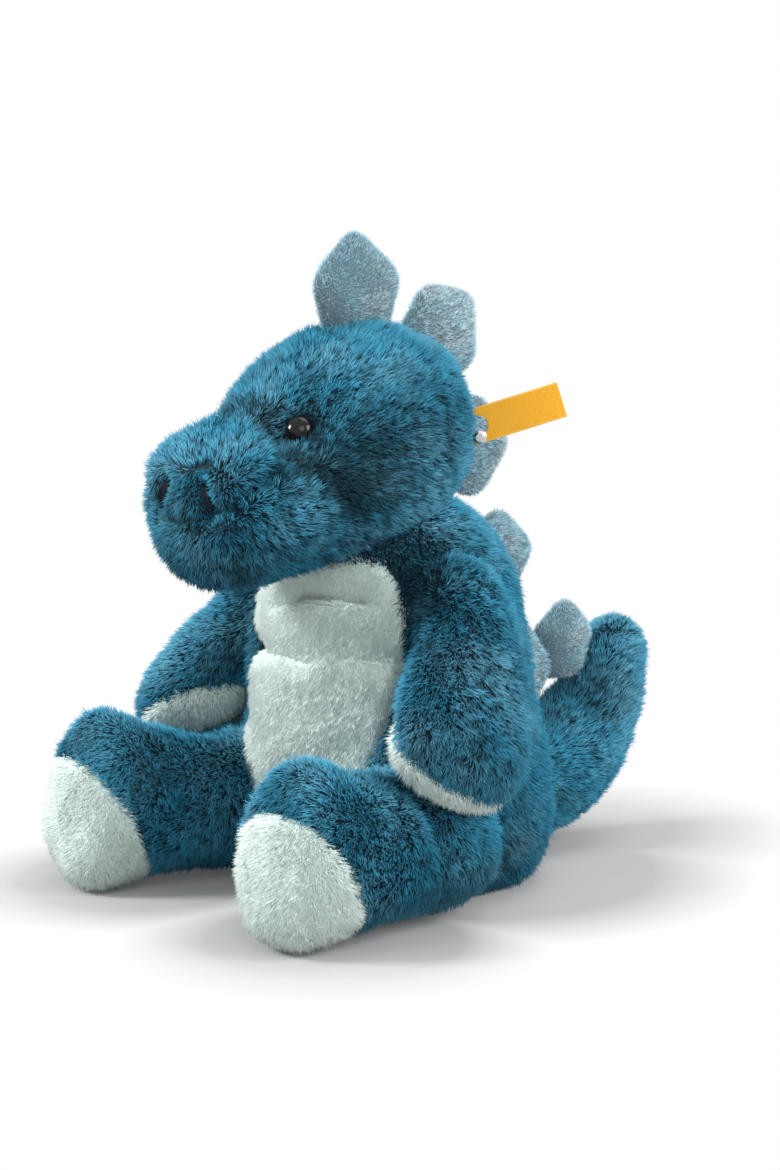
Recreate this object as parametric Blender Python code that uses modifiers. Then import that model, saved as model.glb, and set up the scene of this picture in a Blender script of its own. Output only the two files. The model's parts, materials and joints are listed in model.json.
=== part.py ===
"""Plush dinosaur night light, seated, with a push light behind its pale belly.

The toy faces -Y, its left side is +X and +Z is up. It sits on Z = 0. Sewn pieces are the size of
their fabric, without the pile, which stands about 5 mm proud of it.
"""

import math

import bmesh
import bpy
from mathutils import Matrix, Vector

# Clearances
gap = 0.0003
socket_clearance = 0.0009
arm_room_clearance = 0.0020
overrun = 0.002

# Torso
torso_height = 0.172
torso_width = 0.136
torso_depth = 0.122
skin = 0.004
neck_radius = 0.055
neck_height = 0.117
torso_sides = 12
torso_shares = (
    # height, width, depth, place along Y
    (-0.022, 0.81, 0.79, 0.07),
    (0.05, 0.96, 0.94, 0.07),
    (0.18, 1.00, 1.00, 0.06),
    (0.36, 0.98, 0.98, 0.02),
    (0.54, 0.93, 0.93, -0.01),
    (0.71, 0.84, 0.87, 0.00),
    (0.85, 0.69, 0.74, 0.01),
    (0.95, 0.45, 0.49, 0.01),
    (1.00, 0.20, 0.20, 0.01),
)

# Belly panel, as half widths from its top to its bottom
panel_top = 0.136
panel_bottom = 0.030
panel_width = 0.092
panel_shares = (
    # height, half width
    (1.00, 0.43),
    (0.80, 0.48),
    (0.55, 0.50),
    (0.28, 0.45),
    (0.00, 0.34),
)

# Head
head_place = Vector((0.0, 0.0, 0.200))
head_back = 0.026
head_length = 0.142
head_width = 0.098
head_height = 0.098
head_sides = 12
head_shares = (
    # distance from the back, width, height, lift of the centre
    (0.00, 0.26, 0.26, 0.01),
    (0.05, 0.57, 0.57, 0.01),
    (0.155, 0.87, 0.89, -0.01),
    (0.32, 1.00, 0.96, -0.02),
    (0.48, 1.00, 0.96, -0.05),
    (0.62, 0.94, 0.90, -0.12),
    (0.745, 0.85, 0.75, -0.25),
    (0.865, 0.81, 0.68, -0.31),
    (0.965, 0.66, 0.55, -0.31),
    (1.00, 0.30, 0.24, -0.31),
)

# Arms
shoulder = Vector((0.046, -0.008, 0.138))
shoulder_radius = 0.020
arm_axis = Vector((1, 0, 0))
elbow = Vector((0.080, -0.018, 0.120))
paw_end = Vector((0.097, -0.056, 0.061))
arm_thickness = 0.038
paw_width = 0.062
pad_facing = Vector((-0.62, -0.18, -0.76))
pad_depth = 0.0105
pad_share = 0.78
wrist_share = 0.5
arm_sides = 8
arm_shares = (
    # place along the arm, width as a share of the paw's, thickness as a share of the arm's
    (0.00, 0.58, 0.80),
    (0.15, 0.66, 0.96),
    (0.35, 0.68, 1.00),
    (0.55, 0.76, 1.00),
    (0.74, 0.92, 1.02),
    (0.90, 0.92, 0.92),
    (0.98, 0.68, 0.62),
    (1.00, 0.32, 0.28),
)

# Legs
hip = Vector((0.050, -0.020, 0.034))
hip_radius = 0.034
knee = Vector((0.068, -0.070, 0.031))
toe_end = Vector((0.068, -0.124, 0.045))
leg_thickness = 0.074
foot_width = 0.056
foot_height = 0.083
sole_facing = Vector((0.12, -0.88, -0.47))
sole_set_back = 0.010
leg_sides = 10
leg_shares = (
    # place along the leg, width as a share of the foot's, height as a share of the foot's
    (0.00, 1.16, 0.66),
    (0.22, 1.30, 0.73),
    (0.45, 1.20, 0.74),
    (0.66, 1.02, 0.86),
    (0.82, 1.02, 1.00),
    (0.93, 0.92, 0.94),
    (0.99, 0.62, 0.66),
    (1.00, 0.30, 0.32),
)

# Tail
tail_root = Vector((0.0, 0.058, 0.036))
tail_radius = 0.028
tail_bend = Vector((0.0, 0.126, 0.010))
tail_end = Vector((0.0, 0.142, 0.100))
tail_thickness = 0.050
tail_sides = 10
tail_shares = (
    # place along the tail, thickness
    (0.00, 0.90),
    (0.20, 1.00),
    (0.40, 0.96),
    (0.60, 0.84),
    (0.78, 0.70),
    (0.92, 0.58),
    (0.985, 0.40),
    (1.00, 0.20),
)

# Swings that the sockets leave room for
leg_swing = math.radians(9)
tail_swing = math.radians(16)
swing_reach = 0.075

# Back plates: an upright leaf with five soft corners
plate_length = 0.050
plate_height = 0.046
plate_thickness = 0.011
plate_root = 0.008
plate_round = 0.0042
plate_shares = (
    # along, up
    (-0.34, 0.00),
    (-0.50, 0.54),
    (0.00, 1.00),
    (0.50, 0.52),
    (0.34, 0.00),
)
plate_corner_share = 0.26
plate_corner_steps = 3
plate_place_shares = (
    # name, its root's place on what carries it, its lean from upright towards the back, its size
    ("head_plate_1", (0.313, 0.424), -3, 0.98),
    ("head_plate_2", (0.063, 0.276), 50, 0.95),
    ("head_plate_3", (-0.014, -0.117), 90, 0.92),
    ("back_plate_1", (0.385, 0.814), 72, 0.80),
    ("back_plate_2", (0.467, 0.477), 86, 0.76),
    ("tail_plate", (0.571, 0.800), 2, 0.74),
)

# Eyes
eye_place_shares = (0.281, 0.722, 0.068)
eye_radius = 0.0058
eye_height = 0.0040
dome_steps = 4
eye_facing = Vector((0.60, -0.68, 0.42))
eye_stem_radius = 0.0018
eye_stem_length = 0.012
eye_washer_radius = 0.0055
eye_washer_thickness = 0.0012
eye_washer_depth = 0.007

# Nostrils
nostril_place_shares = (0.150, 0.989, -0.225)
nostril_length = 0.009
nostril_radius = 0.0013
nostril_lean = math.radians(24)

# Tag
tag_place_shares = (0.336, 0.082, 0.0)
tag_facing = Vector((0.643, 0.766, 0.0))
tag_tilt = math.radians(20)
tag_length = 0.035
tag_width = 0.0155
tag_thickness = 0.0012
tag_fork = 0.007
tag_fork_width = 0.005
rivet_radius = 0.0016
rivet_head_radius = 0.0030
rivet_head_height = 0.0012
rivet_crown_share = 0.6
rivet_inset = 0.0034
rivet_aside = 0.0052

# Light puck, measured from its rear face towards the belly
puck_set_back = 0.037
puck_lift = 0.096
puck_place = Vector((0.0, puck_set_back - torso_depth / 2, puck_lift))
puck_radius = 0.029
puck_wall = 0.0018
puck_height = 0.0164
bezel_thickness = 0.0018
bezel_opening = 0.0194
board_radius = 0.0195
board_thickness = 0.0016
board_height = 0.0070
board_seat_inner = 0.0170
lens_radius = 0.0190
lens_flange_radius = 0.0202
lens_flange_thickness = 0.0015
lens_rise = 0.0060
lens_wall = 0.0016
press_travel = 0.0010
switch_side = 0.0060
switch_height = 0.0035
plunger_radius = 0.0017
plunger_play = 0.0002
plunger_length = 0.0030
lens_steps = 4
led_length = 0.0035
led_width = 0.0028
led_height = 0.0019
led_ring_radius = 0.0135
led_count = 4
screw_post_radius = 0.0028
screw_post_ring = 0.0237
puck_screw_radius = 0.0011
puck_screw_length = 0.0090
puck_screw_head_radius = 0.0021
puck_screw_head_height = 0.0012

# Battery box and its flap, seen along the flap's own outward direction
flap_turn = math.radians(48)
flap_lean = math.radians(9)
flap_height_place = 0.096
flap_out_share = 0.929
flap_width = 0.048
flap_height = 0.070
strip_height = 0.0065
strip_thickness = 0.0010
strip_margin = 0.0012
box_wall = 0.0014
box_depth_place = 0.0135
cell_radius = 0.00525
cell_length = 0.0445
cell_count = 3
contact_thickness = 0.0005
cover_thickness = 0.0016
screw_boss_height = 0.0070
cover_screw_radius = 0.0011
cover_screw_length = 0.0065
cover_screw_head_radius = 0.0022
cover_screw_head_height = 0.0010

# Lead
lead_radius = 0.0013
lead_gland_radius = 0.0022
lead_slack_share = 0.35
lead_steps = 12

fine_steps = 20
ball_steps = 18
neck_steps = 28
small_steps = 12
tube_resolution = 2
sharp_angle = math.radians(40)
cutter_size = 0.300

parts = bpy.data.collections.new("plush_night_light")
cutters = bpy.data.collections.new("cutters")


def clear_scene():
    for thing in list(bpy.data.objects):
        bpy.data.objects.remove(thing, do_unlink=True)
    bpy.context.scene.collection.children.link(parts)
    bpy.context.scene.collection.children.link(cutters)


def finish(name, colour, roughness, metallic=0.0):
    """A Principled material with one colour."""
    material = bpy.data.materials.new(name)
    material.use_nodes = True
    shader = material.node_tree.nodes["Principled BSDF"]
    shader.inputs["Base Color"].default_value = (*colour, 1)
    shader.inputs["Roughness"].default_value = roughness
    shader.inputs["Metallic"].default_value = metallic
    return material


blue_plush = finish("blue_plush", (0.012, 0.105, 0.215), 0.9)
mint_plush = finish("mint_plush", (0.72, 0.84, 0.84), 0.9)
plate_plush = finish("plate_plush", (0.19, 0.37, 0.50), 0.9)
eye_black = finish("eye_black", (0.008, 0.008, 0.01), 0.08)
thread_black = finish("thread_black", (0.01, 0.02, 0.04), 0.8)
ribbon_yellow = finish("ribbon_yellow", (0.90, 0.46, 0.03), 0.6)
rivet_metal = finish("rivet_metal", (0.80, 0.80, 0.78), 0.25, 1.0)
white_plastic = finish("white_plastic", (0.80, 0.80, 0.78), 0.45)
milky_plastic = finish("milky_plastic", (0.92, 0.91, 0.87), 0.35)
clear_washer = finish("clear_washer", (0.75, 0.76, 0.76), 0.4)
board_green = finish("board_green", (0.03, 0.20, 0.08), 0.4)
led_white = finish("led_white", (0.95, 0.90, 0.62), 0.3)
switch_black = finish("switch_black", (0.02, 0.02, 0.02), 0.4)
steel = finish("steel", (0.62, 0.62, 0.60), 0.3, 1.0)
cell_wrap = finish("cell_wrap", (0.16, 0.17, 0.19), 0.3)
strip_grey = finish("strip_grey", (0.10, 0.16, 0.22), 0.9)
lead_white = finish("lead_white", (0.75, 0.75, 0.73), 0.5)


def add(name, mesh, material=None):
    """Puts a mesh in the scene: as a piece if it has a material, and as a cutter if not."""
    thing = bpy.data.objects.new(name, mesh)
    if material is None:
        thing.hide_render = True
        thing.display_type = "WIRE"
        cutters.objects.link(thing)
    else:
        mesh.materials.clear()
        mesh.materials.append(material)
        parts.objects.link(thing)
    return thing


def mesh_from(name, build):
    """A mesh from a bmesh that build fills, its normals facing out."""
    cage = bmesh.new()
    build(cage)
    bmesh.ops.recalc_face_normals(cage, faces=cage.faces)
    mesh = bpy.data.meshes.new(name)
    cage.to_mesh(mesh)
    cage.free()
    return mesh


def smooth(thing):
    thing.data.shade_smooth()
    thing.data.set_sharp_from_angle(angle=sharp_angle)
    return thing


def boolean(thing, other, operation="DIFFERENCE"):
    modifier = thing.modifiers.new(other.name, "BOOLEAN")
    modifier.operation = operation
    modifier.object = other
    modifier.solver = "EXACT"
    return thing


def cut(thing, *others):
    for other in others:
        boolean(thing, other)
    return thing


def rounded(thing, levels=1):
    """Subdivision Surface on a coarse cage."""
    modifier = thing.modifiers.new("subdivision", "SUBSURF")
    modifier.levels = levels
    modifier.render_levels = levels
    return thing


def sewn_form(name, rings, sides, material=None, swell=0.0):
    """A closed form through elliptical rings. Each ring is its centre, the directions of its width
    and height, and those two sizes. The cage is larger than the form, because subdivision draws it
    in, and swell moves the surface outward."""
    draw_in = (2 + math.cos(2 * math.pi / sides)) / 3
    centres = [ring[0] for ring in rings]
    places = list(centres)
    places[0] += (centres[0] - centres[1]).normalized() * swell
    places[-1] += (centres[-1] - centres[-2]).normalized() * swell

    def build(cage):
        loops = []
        for centre, (_, across, up, width, height) in zip(places, rings):
            across_reach = across * ((width / 2 + swell) / draw_in)
            up_reach = up * ((height / 2 + swell) / draw_in)
            turns = [2 * math.pi * side / sides for side in range(sides)]
            loops.append(
                [
                    cage.verts.new(centre + across_reach * math.cos(turn) + up_reach * math.sin(turn))
                    for turn in turns
                ]
            )
        for low, high in zip(loops, loops[1:]):
            for side in range(sides):
                after = (side + 1) % sides
                cage.faces.new((low[side], low[after], high[after], high[side]))
        cage.faces.new(loops[0])
        cage.faces.new(loops[-1])

    return rounded(smooth(add(name, mesh_from(name, build), material)))


def bent_path(start, bend, end, share):
    """The point and the direction at a share of a quadratic curve from start to end."""
    rest = 1 - share
    point = start * rest**2 + bend * (2 * rest * share) + end * share**2
    heading = (bend - start) * rest + (end - bend) * share
    return point, heading.normalized()


def limb_rings(start, bend, end, sections, facing):
    """Rings along a limb. Each section is a share of its length, a width and a height, and the
    height lies as near to facing as the limb's direction lets it."""
    rings = []
    for share, width, height in sections:
        point, heading = bent_path(start, bend, end, share)
        across = heading.cross(facing).normalized()
        rings.append((point, across, across.cross(heading), width, height))
    return rings


def block(name, size, place, material=None):
    mesh = mesh_from(name, lambda cage: bmesh.ops.create_cube(cage, size=1))
    mesh.transform(Matrix.Diagonal((*size, 1)))
    thing = add(name, mesh, material)
    thing.location = place
    return thing


def ball(name, radius, place, steps=ball_steps, pole=Vector((0, 0, 1))):
    """A ball whose facets turn about its pole, which lies along the axis that its limb turns on."""

    def build(cage):
        bmesh.ops.create_uvsphere(cage, u_segments=steps, v_segments=steps // 2, radius=radius)

    thing = smooth(add(name, mesh_from(name, build)))
    thing.matrix_world = Matrix.Translation(place) @ pole.to_track_quat("Z", "Y").to_matrix().to_4x4()
    return thing


def turned(name, profile, material=None, steps=fine_steps):
    """A profile of radius and height, top to bottom down its outer side, turned about local Z."""
    closed = profile[0][0] > 0 or profile[-1][0] > 0
    mesh = bpy.data.meshes.new(name)
    corners = [(radius, 0, height) for radius, height in profile]
    edges = [(i, i + 1) for i in range(len(corners) - 1)]
    if closed:
        edges.append((len(corners) - 1, 0))
    mesh.from_pydata(corners, edges, [])
    thing = add(name, mesh, material)
    screw = thing.modifiers.new("turn", "SCREW")
    screw.steps = steps
    screw.render_steps = steps
    screw.use_merge_vertices = True
    screw.merge_threshold = gap / 10
    screw.use_smooth_shade = False
    return thing


def rod(name, radius, low, high, material=None, steps=small_steps):
    return turned(name, ((0, high), (radius, high), (radius, low), (0, low)), material, steps)


def as_mesh(curve_thing, material=None):
    """The curve's solid as a mesh object, its caps joined to its sides."""
    bpy.context.view_layer.update()
    graph = bpy.context.evaluated_depsgraph_get()
    mesh = bpy.data.meshes.new_from_object(curve_thing.evaluated_get(graph))
    name = curve_thing.name
    place = curve_thing.matrix_world.copy()
    bpy.data.objects.remove(curve_thing, do_unlink=True)
    cage = bmesh.new()
    cage.from_mesh(mesh)
    bmesh.ops.remove_doubles(cage, verts=cage.verts, dist=gap / 10)
    bmesh.ops.recalc_face_normals(cage, faces=cage.faces)
    cage.to_mesh(mesh)
    cage.free()
    mesh.name = name
    thing = add(name, mesh, material)
    thing.name = name
    thing.matrix_world = place
    return thing


def outline(name, points, thickness, material=None, edge=0.0):
    """A flat outline in local XY with its thickness along local Z, centred on it."""
    curve = bpy.data.curves.new(name, "CURVE")
    curve.dimensions = "2D"
    curve.fill_mode = "BOTH"
    curve.extrude = thickness / 2 - edge
    curve.bevel_depth = edge
    curve.bevel_resolution = 1
    curve.offset = -edge
    spline = curve.splines.new("POLY")
    spline.points.add(len(points) - 1)
    for knot, (x, y) in zip(spline.points, points):
        knot.co = (x, y, 0, 1)
    spline.use_cyclic_u = True
    thing = bpy.data.objects.new(name, curve)
    cutters.objects.link(thing)
    return as_mesh(thing, material)


def softened(corners, share, steps):
    """An outline whose corners are drawn as short curves that begin this share of a side away."""
    points = []
    knots = [Vector((x, y, 0)) for x, y in corners]
    for index, knot in enumerate(knots):
        before = knot.lerp(knots[index - 1], share)
        after = knot.lerp(knots[(index + 1) % len(knots)], share)
        for step in range(steps + 1):
            point, _ = bent_path(before, knot, after, step / steps)
            points.append((point.x, point.y))
    return points


def frame_towards(place, outward, upward=Vector((0, 0, 1))):
    """A matrix at place whose local Z points outward and whose local Y is nearest upward."""
    z_axis = outward.normalized()
    x_axis = upward.cross(z_axis).normalized()
    y_axis = z_axis.cross(x_axis)
    turn = Matrix((x_axis, y_axis, z_axis)).transposed()
    return Matrix.Translation(place) @ turn.to_4x4()


def half_space(name, place, facing):
    """A block with one face through place, that fills what lies beyond it."""
    thing = block(name, (cutter_size, cutter_size, cutter_size), Vector())
    thing.matrix_world = frame_towards(place + facing * (cutter_size / 2), facing)
    return thing


def holder(name, place, *things):
    """An empty at a joint or a sub-assembly's own frame, which carries its pieces."""
    empty = bpy.data.objects.new(name, None)
    parts.objects.link(empty)
    empty.matrix_world = place
    for thing in things:
        thing.parent = empty
    return empty


def carry(empty, *things):
    """Parents pieces that are already in place to an empty without moving them."""
    bpy.context.view_layer.update()
    for thing in things:
        thing.parent = empty
        thing.matrix_parent_inverse = empty.matrix_world.inverted()


def other_side(vector):
    return Vector((-vector.x, vector.y, vector.z))


def on_head(across, along, lift):
    """A place on the head from its shares: of the width, of the length from the back, of the height."""
    return head_place + Vector(
        (head_width * across, head_back - head_length * along, head_height * lift)
    )


def torso_rings():
    return [
        (
            Vector((0, torso_depth * along, torso_height * height)),
            Vector((1, 0, 0)),
            Vector((0, 1, 0)),
            torso_width * width,
            torso_depth * depth,
        )
        for height, width, depth, along in torso_shares
    ]


def torso_form(name, swell=0.0, material=None):
    return sewn_form(name, torso_rings(), torso_sides, material, swell)


def head_form(name, swell=0.0, material=None):
    rings = [
        (
            head_place + Vector((0, head_back - head_length * share, head_height * lift)),
            Vector((-1, 0, 0)),
            Vector((0, 0, 1)),
            head_width * width,
            head_height * height,
        )
        for share, width, height, lift in head_shares
    ]
    return sewn_form(name, rings, head_sides, material, swell)


def arm_form(name, mirror, swell=0.0, material=None):
    points = [mirror(point) for point in (shoulder, elbow, paw_end)]
    sections = [
        (share, paw_width * width, arm_thickness * height) for share, width, height in arm_shares
    ]
    return sewn_form(name, limb_rings(*points, sections, mirror(pad_facing)), arm_sides, material, swell)


def leg_form(name, mirror, swell=0.0, material=None):
    points = [mirror(point) for point in (hip, knee, toe_end)]
    sections = [
        (share, foot_width * width, foot_height * height) for share, width, height in leg_shares
    ]
    return sewn_form(name, limb_rings(*points, sections, Vector((0, 0, 1))), leg_sides, material, swell)


def tail_form(name, swell=0.0, material=None):
    sections = [(share, tail_thickness * size, tail_thickness * size) for share, size in tail_shares]
    rings = limb_rings(tail_root, tail_bend, tail_end, sections, Vector((1, 0, 0)))
    return sewn_form(name, rings, tail_sides, material, swell)


def swing_room(name, place, towards, radius, swing):
    """A cone that holds a limb of this radius while it swings this far about its root."""
    reach = swing_reach
    end_radius = radius + reach * math.tan(swing)
    room = turned(name, ((0, reach), (end_radius, reach), (radius, 0), (0, 0)), steps=fine_steps)
    room.matrix_world = frame_towards(place, towards)
    return room


def make_ground():
    size = (cutter_size, cutter_size, cutter_size)
    return block("below_ground", size, Vector((0, 0, -cutter_size / 2)))


def make_torso(ground):
    """The body, with its sockets, its recesses and the pockets for the light."""
    torso = torso_form("torso", material=blue_plush)
    neck = ball("neck_ball", neck_radius, Vector((0, 0, neck_height)), neck_steps)
    boolean(torso, neck, "UNION")
    cut(torso, ground)
    for side, mirror in sides():
        hip_socket = ball("hip_socket" + side, hip_radius + socket_clearance, mirror(hip))
        leg_radius = leg_thickness / 2
        leg_room = swing_room("leg_room" + side, mirror(hip), mirror(knee - hip), leg_radius, leg_swing)
        arm_socket_radius = shoulder_radius + socket_clearance
        arm_socket = ball("arm_socket" + side, arm_socket_radius, mirror(shoulder), pole=arm_axis)
        arm_room = arm_form("arm_room" + side, mirror, arm_room_clearance)
        cut(torso, hip_socket, leg_room, arm_socket, arm_room)
    tail_socket = ball("tail_socket", tail_radius + socket_clearance, tail_root)
    tail_room = swing_room("tail_room", tail_root, tail_bend - tail_root, tail_thickness / 2, tail_swing)
    return cut(torso, tail_socket, tail_room)


def sides():
    return (("_left", Vector), ("_right", other_side))


def panel_prism(name, clearance):
    """The belly panel's outline, carried through the front of the torso."""
    height = panel_top - panel_bottom
    half = [
        (panel_width * width + clearance, panel_bottom + height * share)
        for share, width in panel_shares
    ]
    half[0] = (half[0][0], half[0][1] + clearance)
    half[-1] = (half[-1][0], half[-1][1] - clearance)
    points = half + [(-x, z) for x, z in reversed(half)]
    prism = outline(name, points, torso_depth)
    prism.matrix_world = frame_towards(Vector((0, -torso_depth / 2 - skin, 0)), Vector((0, -1, 0)))
    return prism


def make_belly_panel(torso):
    """The pale panel is the torso's own surface inside the outline, one skin thick."""
    recess = panel_prism("belly_recess", gap)
    cut(recess, torso_form("torso_under_panel", -skin - gap))
    cut(torso, recess)
    panel = torso_form("belly_panel", material=mint_plush)
    boolean(panel, panel_prism("panel_outline", 0.0), "INTERSECT")
    cut(panel, torso_form("panel_inside", -skin))
    for side, _ in sides():
        for name in ("hip_socket", "leg_room", "arm_socket", "arm_room"):
            cut(panel, bpy.data.objects[name + side])


def make_head():
    head = head_form("head", material=blue_plush)
    neck = Vector((0, 0, neck_height))
    return cut(head, ball("neck_socket", neck_radius + socket_clearance, neck, neck_steps))


def make_eye(side, mirror, head):
    """A domed eye on a stem through the fabric, with the washer that locks it from inside."""
    frame = frame_towards(mirror(on_head(*eye_place_shares)), mirror(eye_facing))
    dome = [
        (eye_radius * math.cos(turn), eye_height * math.sin(turn))
        for turn in [math.pi / 2 * step / dome_steps for step in range(dome_steps, -1, -1)]
    ]
    dome[0] = (0, eye_height)
    stem = [(eye_stem_radius, 0), (eye_stem_radius, -eye_stem_length), (0, -eye_stem_length)]
    eye = turned("eye" + side, dome + stem, eye_black)
    washer_top = -eye_washer_depth
    washer_low = washer_top - eye_washer_thickness
    hole = eye_stem_radius + gap
    washer = turned(
        "eye_washer" + side,
        (
            (hole, washer_top),
            (eye_washer_radius, washer_top),
            (eye_washer_radius, washer_low),
            (hole, washer_low),
        ),
        clear_washer,
        small_steps,
    )
    room = eye_washer_radius + gap
    bore = turned(
        "eye_bore" + side,
        (
            (0, eye_height + overrun),
            (eye_radius + gap, eye_height + overrun),
            (eye_radius + gap, -gap),
            (hole, -gap),
            (hole, washer_top + gap),
            (room, washer_top + gap),
            (room, washer_low - gap),
            (hole, washer_low - gap),
            (hole, -eye_stem_length - gap),
            (0, -eye_stem_length - gap),
        ),
        steps=fine_steps,
    )
    for thing in (eye, washer, bore):
        thing.matrix_world = frame
    cut(head, bore)
    return eye, washer


def make_nostril(side, mirror):
    """A short bar of dark stitches pulled into the muzzle."""
    half = nostril_length / 2
    down = math.cos(nostril_lean) * half
    across = math.sin(nostril_lean) * half
    curve = bpy.data.curves.new("nostril" + side, "CURVE")
    curve.dimensions = "3D"
    curve.bevel_depth = nostril_radius
    curve.bevel_resolution = 1
    curve.use_fill_caps = True
    spline = curve.splines.new("POLY")
    spline.points.add(2)
    upper = Vector((-across, -nostril_radius, down))
    lower = Vector((across, -nostril_radius, -down))
    places = (upper, Vector(), lower)
    for knot, place in zip(spline.points, places):
        knot.co = (*mirror(on_head(*nostril_place_shares) + place), 1)
    thing = bpy.data.objects.new("nostril" + side, curve)
    cutters.objects.link(thing)
    stitch = as_mesh(thing, thread_black)
    return cut(stitch, bpy.data.objects["head_swelled"])


def make_plate(name, root, lean, size, carrier):
    """A stuffed leaf sewn into the back seam, its root cut to the surface that it stands on."""
    corners = [(plate_length * size * x, plate_height * size * y) for x, y in plate_shares]
    corners[0] = (corners[0][0], -plate_root)
    corners[-1] = (corners[-1][0], -plate_root)
    points = softened(corners, plate_corner_share, plate_corner_steps)
    plate = outline(name, points, plate_thickness, plate_plush, edge=plate_round)
    upward = Vector((0, math.sin(math.radians(lean)), math.cos(math.radians(lean))))
    plate.matrix_world = frame_towards(root, Vector((1, 0, 0)), upward)
    return cut(plate, *carrier)


def make_arm(side, mirror):
    """Arm and pale pad, parted by a plane under the paw."""
    facing = mirror(pad_facing).normalized()
    path = [mirror(point) for point in (shoulder, elbow, paw_end)]
    place, _ = bent_path(*path, pad_share)
    across = facing * (arm_thickness / 2 - pad_depth)
    below = half_space("pad_side" + side, place + across, facing)
    below_pad = half_space("pad_side_clear" + side, place + across + facing * gap, facing)
    arm = arm_form("arm" + side, mirror, material=blue_plush)
    root = ball("arm_ball" + side, shoulder_radius, mirror(shoulder), pole=arm_axis)
    cut(arm, below)
    boolean(arm, root, "UNION")
    pad = arm_form("paw_pad" + side, mirror, material=mint_plush)
    boolean(pad, below_pad, "INTERSECT")
    wrist, heading = bent_path(*path, wrist_share)
    return arm, cut(pad, half_space("past_wrist" + side, wrist, -heading))


def make_leg(side, mirror, ground):
    """Leg and pale sole, parted by the sole's leaning seam."""
    facing = mirror(sole_facing).normalized()
    seam = mirror(toe_end) - facing * sole_set_back
    ahead = half_space("sole_side" + side, seam, facing)
    ahead_clear = half_space("sole_side_clear" + side, seam + facing * gap, facing)
    leg = leg_form("leg" + side, mirror, material=blue_plush)
    root = ball("leg_ball" + side, hip_radius, mirror(hip))
    cut(leg, ahead)
    boolean(leg, root, "UNION")
    cut(leg, ground)
    sole = leg_form("sole" + side, mirror, material=mint_plush)
    boolean(sole, ahead_clear, "INTERSECT")
    return leg, cut(sole, ground)


def make_tail(ground):
    tail = tail_form("tail", material=blue_plush)
    boolean(tail, ball("tail_ball", tail_radius, tail_root), "UNION")
    return cut(tail, ground)


def make_tag():
    """A blank woven ribbon with a forked root, and the rivet that holds it in the seam."""
    outward = tag_facing.normalized()
    along = outward * math.cos(tag_tilt) + Vector((0, 0, math.sin(tag_tilt)))
    normal = Vector((outward.y, -outward.x, 0))
    half = tag_width / 2
    inner = tag_fork_width / 2
    points = [
        (0, -half),
        (tag_length, -half),
        (tag_length, half),
        (0, half),
        (-tag_fork, half - inner),
        (-tag_fork, inner / 2),
        (-tag_fork / 4, 0),
        (-tag_fork, -inner / 2),
        (-tag_fork, inner - half),
    ]
    across = normal.cross(along)
    turn = Matrix((along, across, normal)).transposed().to_4x4()
    frame = Matrix.Translation(on_head(*tag_place_shares) + along * tag_fork) @ turn
    ribbon = outline("tag_ribbon", points, tag_thickness, ribbon_yellow)
    ribbon.matrix_world = frame
    half_stack = tag_thickness / 2 + gap
    outer = half_stack + rivet_head_height
    rivet = turned(
        "tag_rivet",
        (
            (0, outer),
            (rivet_head_radius * rivet_crown_share, outer),
            (rivet_head_radius, half_stack + gap),
            (rivet_head_radius, half_stack),
            (rivet_radius, half_stack),
            (rivet_radius, -half_stack),
            (rivet_head_radius, -half_stack),
            (rivet_head_radius, -outer),
            (0, -outer),
        ),
        rivet_metal,
        small_steps,
    )
    hole = rod("tag_hole", rivet_radius + gap, -outer, outer)
    for thing in (rivet, hole):
        thing.matrix_world = frame @ Matrix.Translation((rivet_inset - tag_fork, -rivet_aside, 0))
    cut(ribbon, bpy.data.objects["head_swelled"], hole)
    return ribbon, rivet


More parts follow.
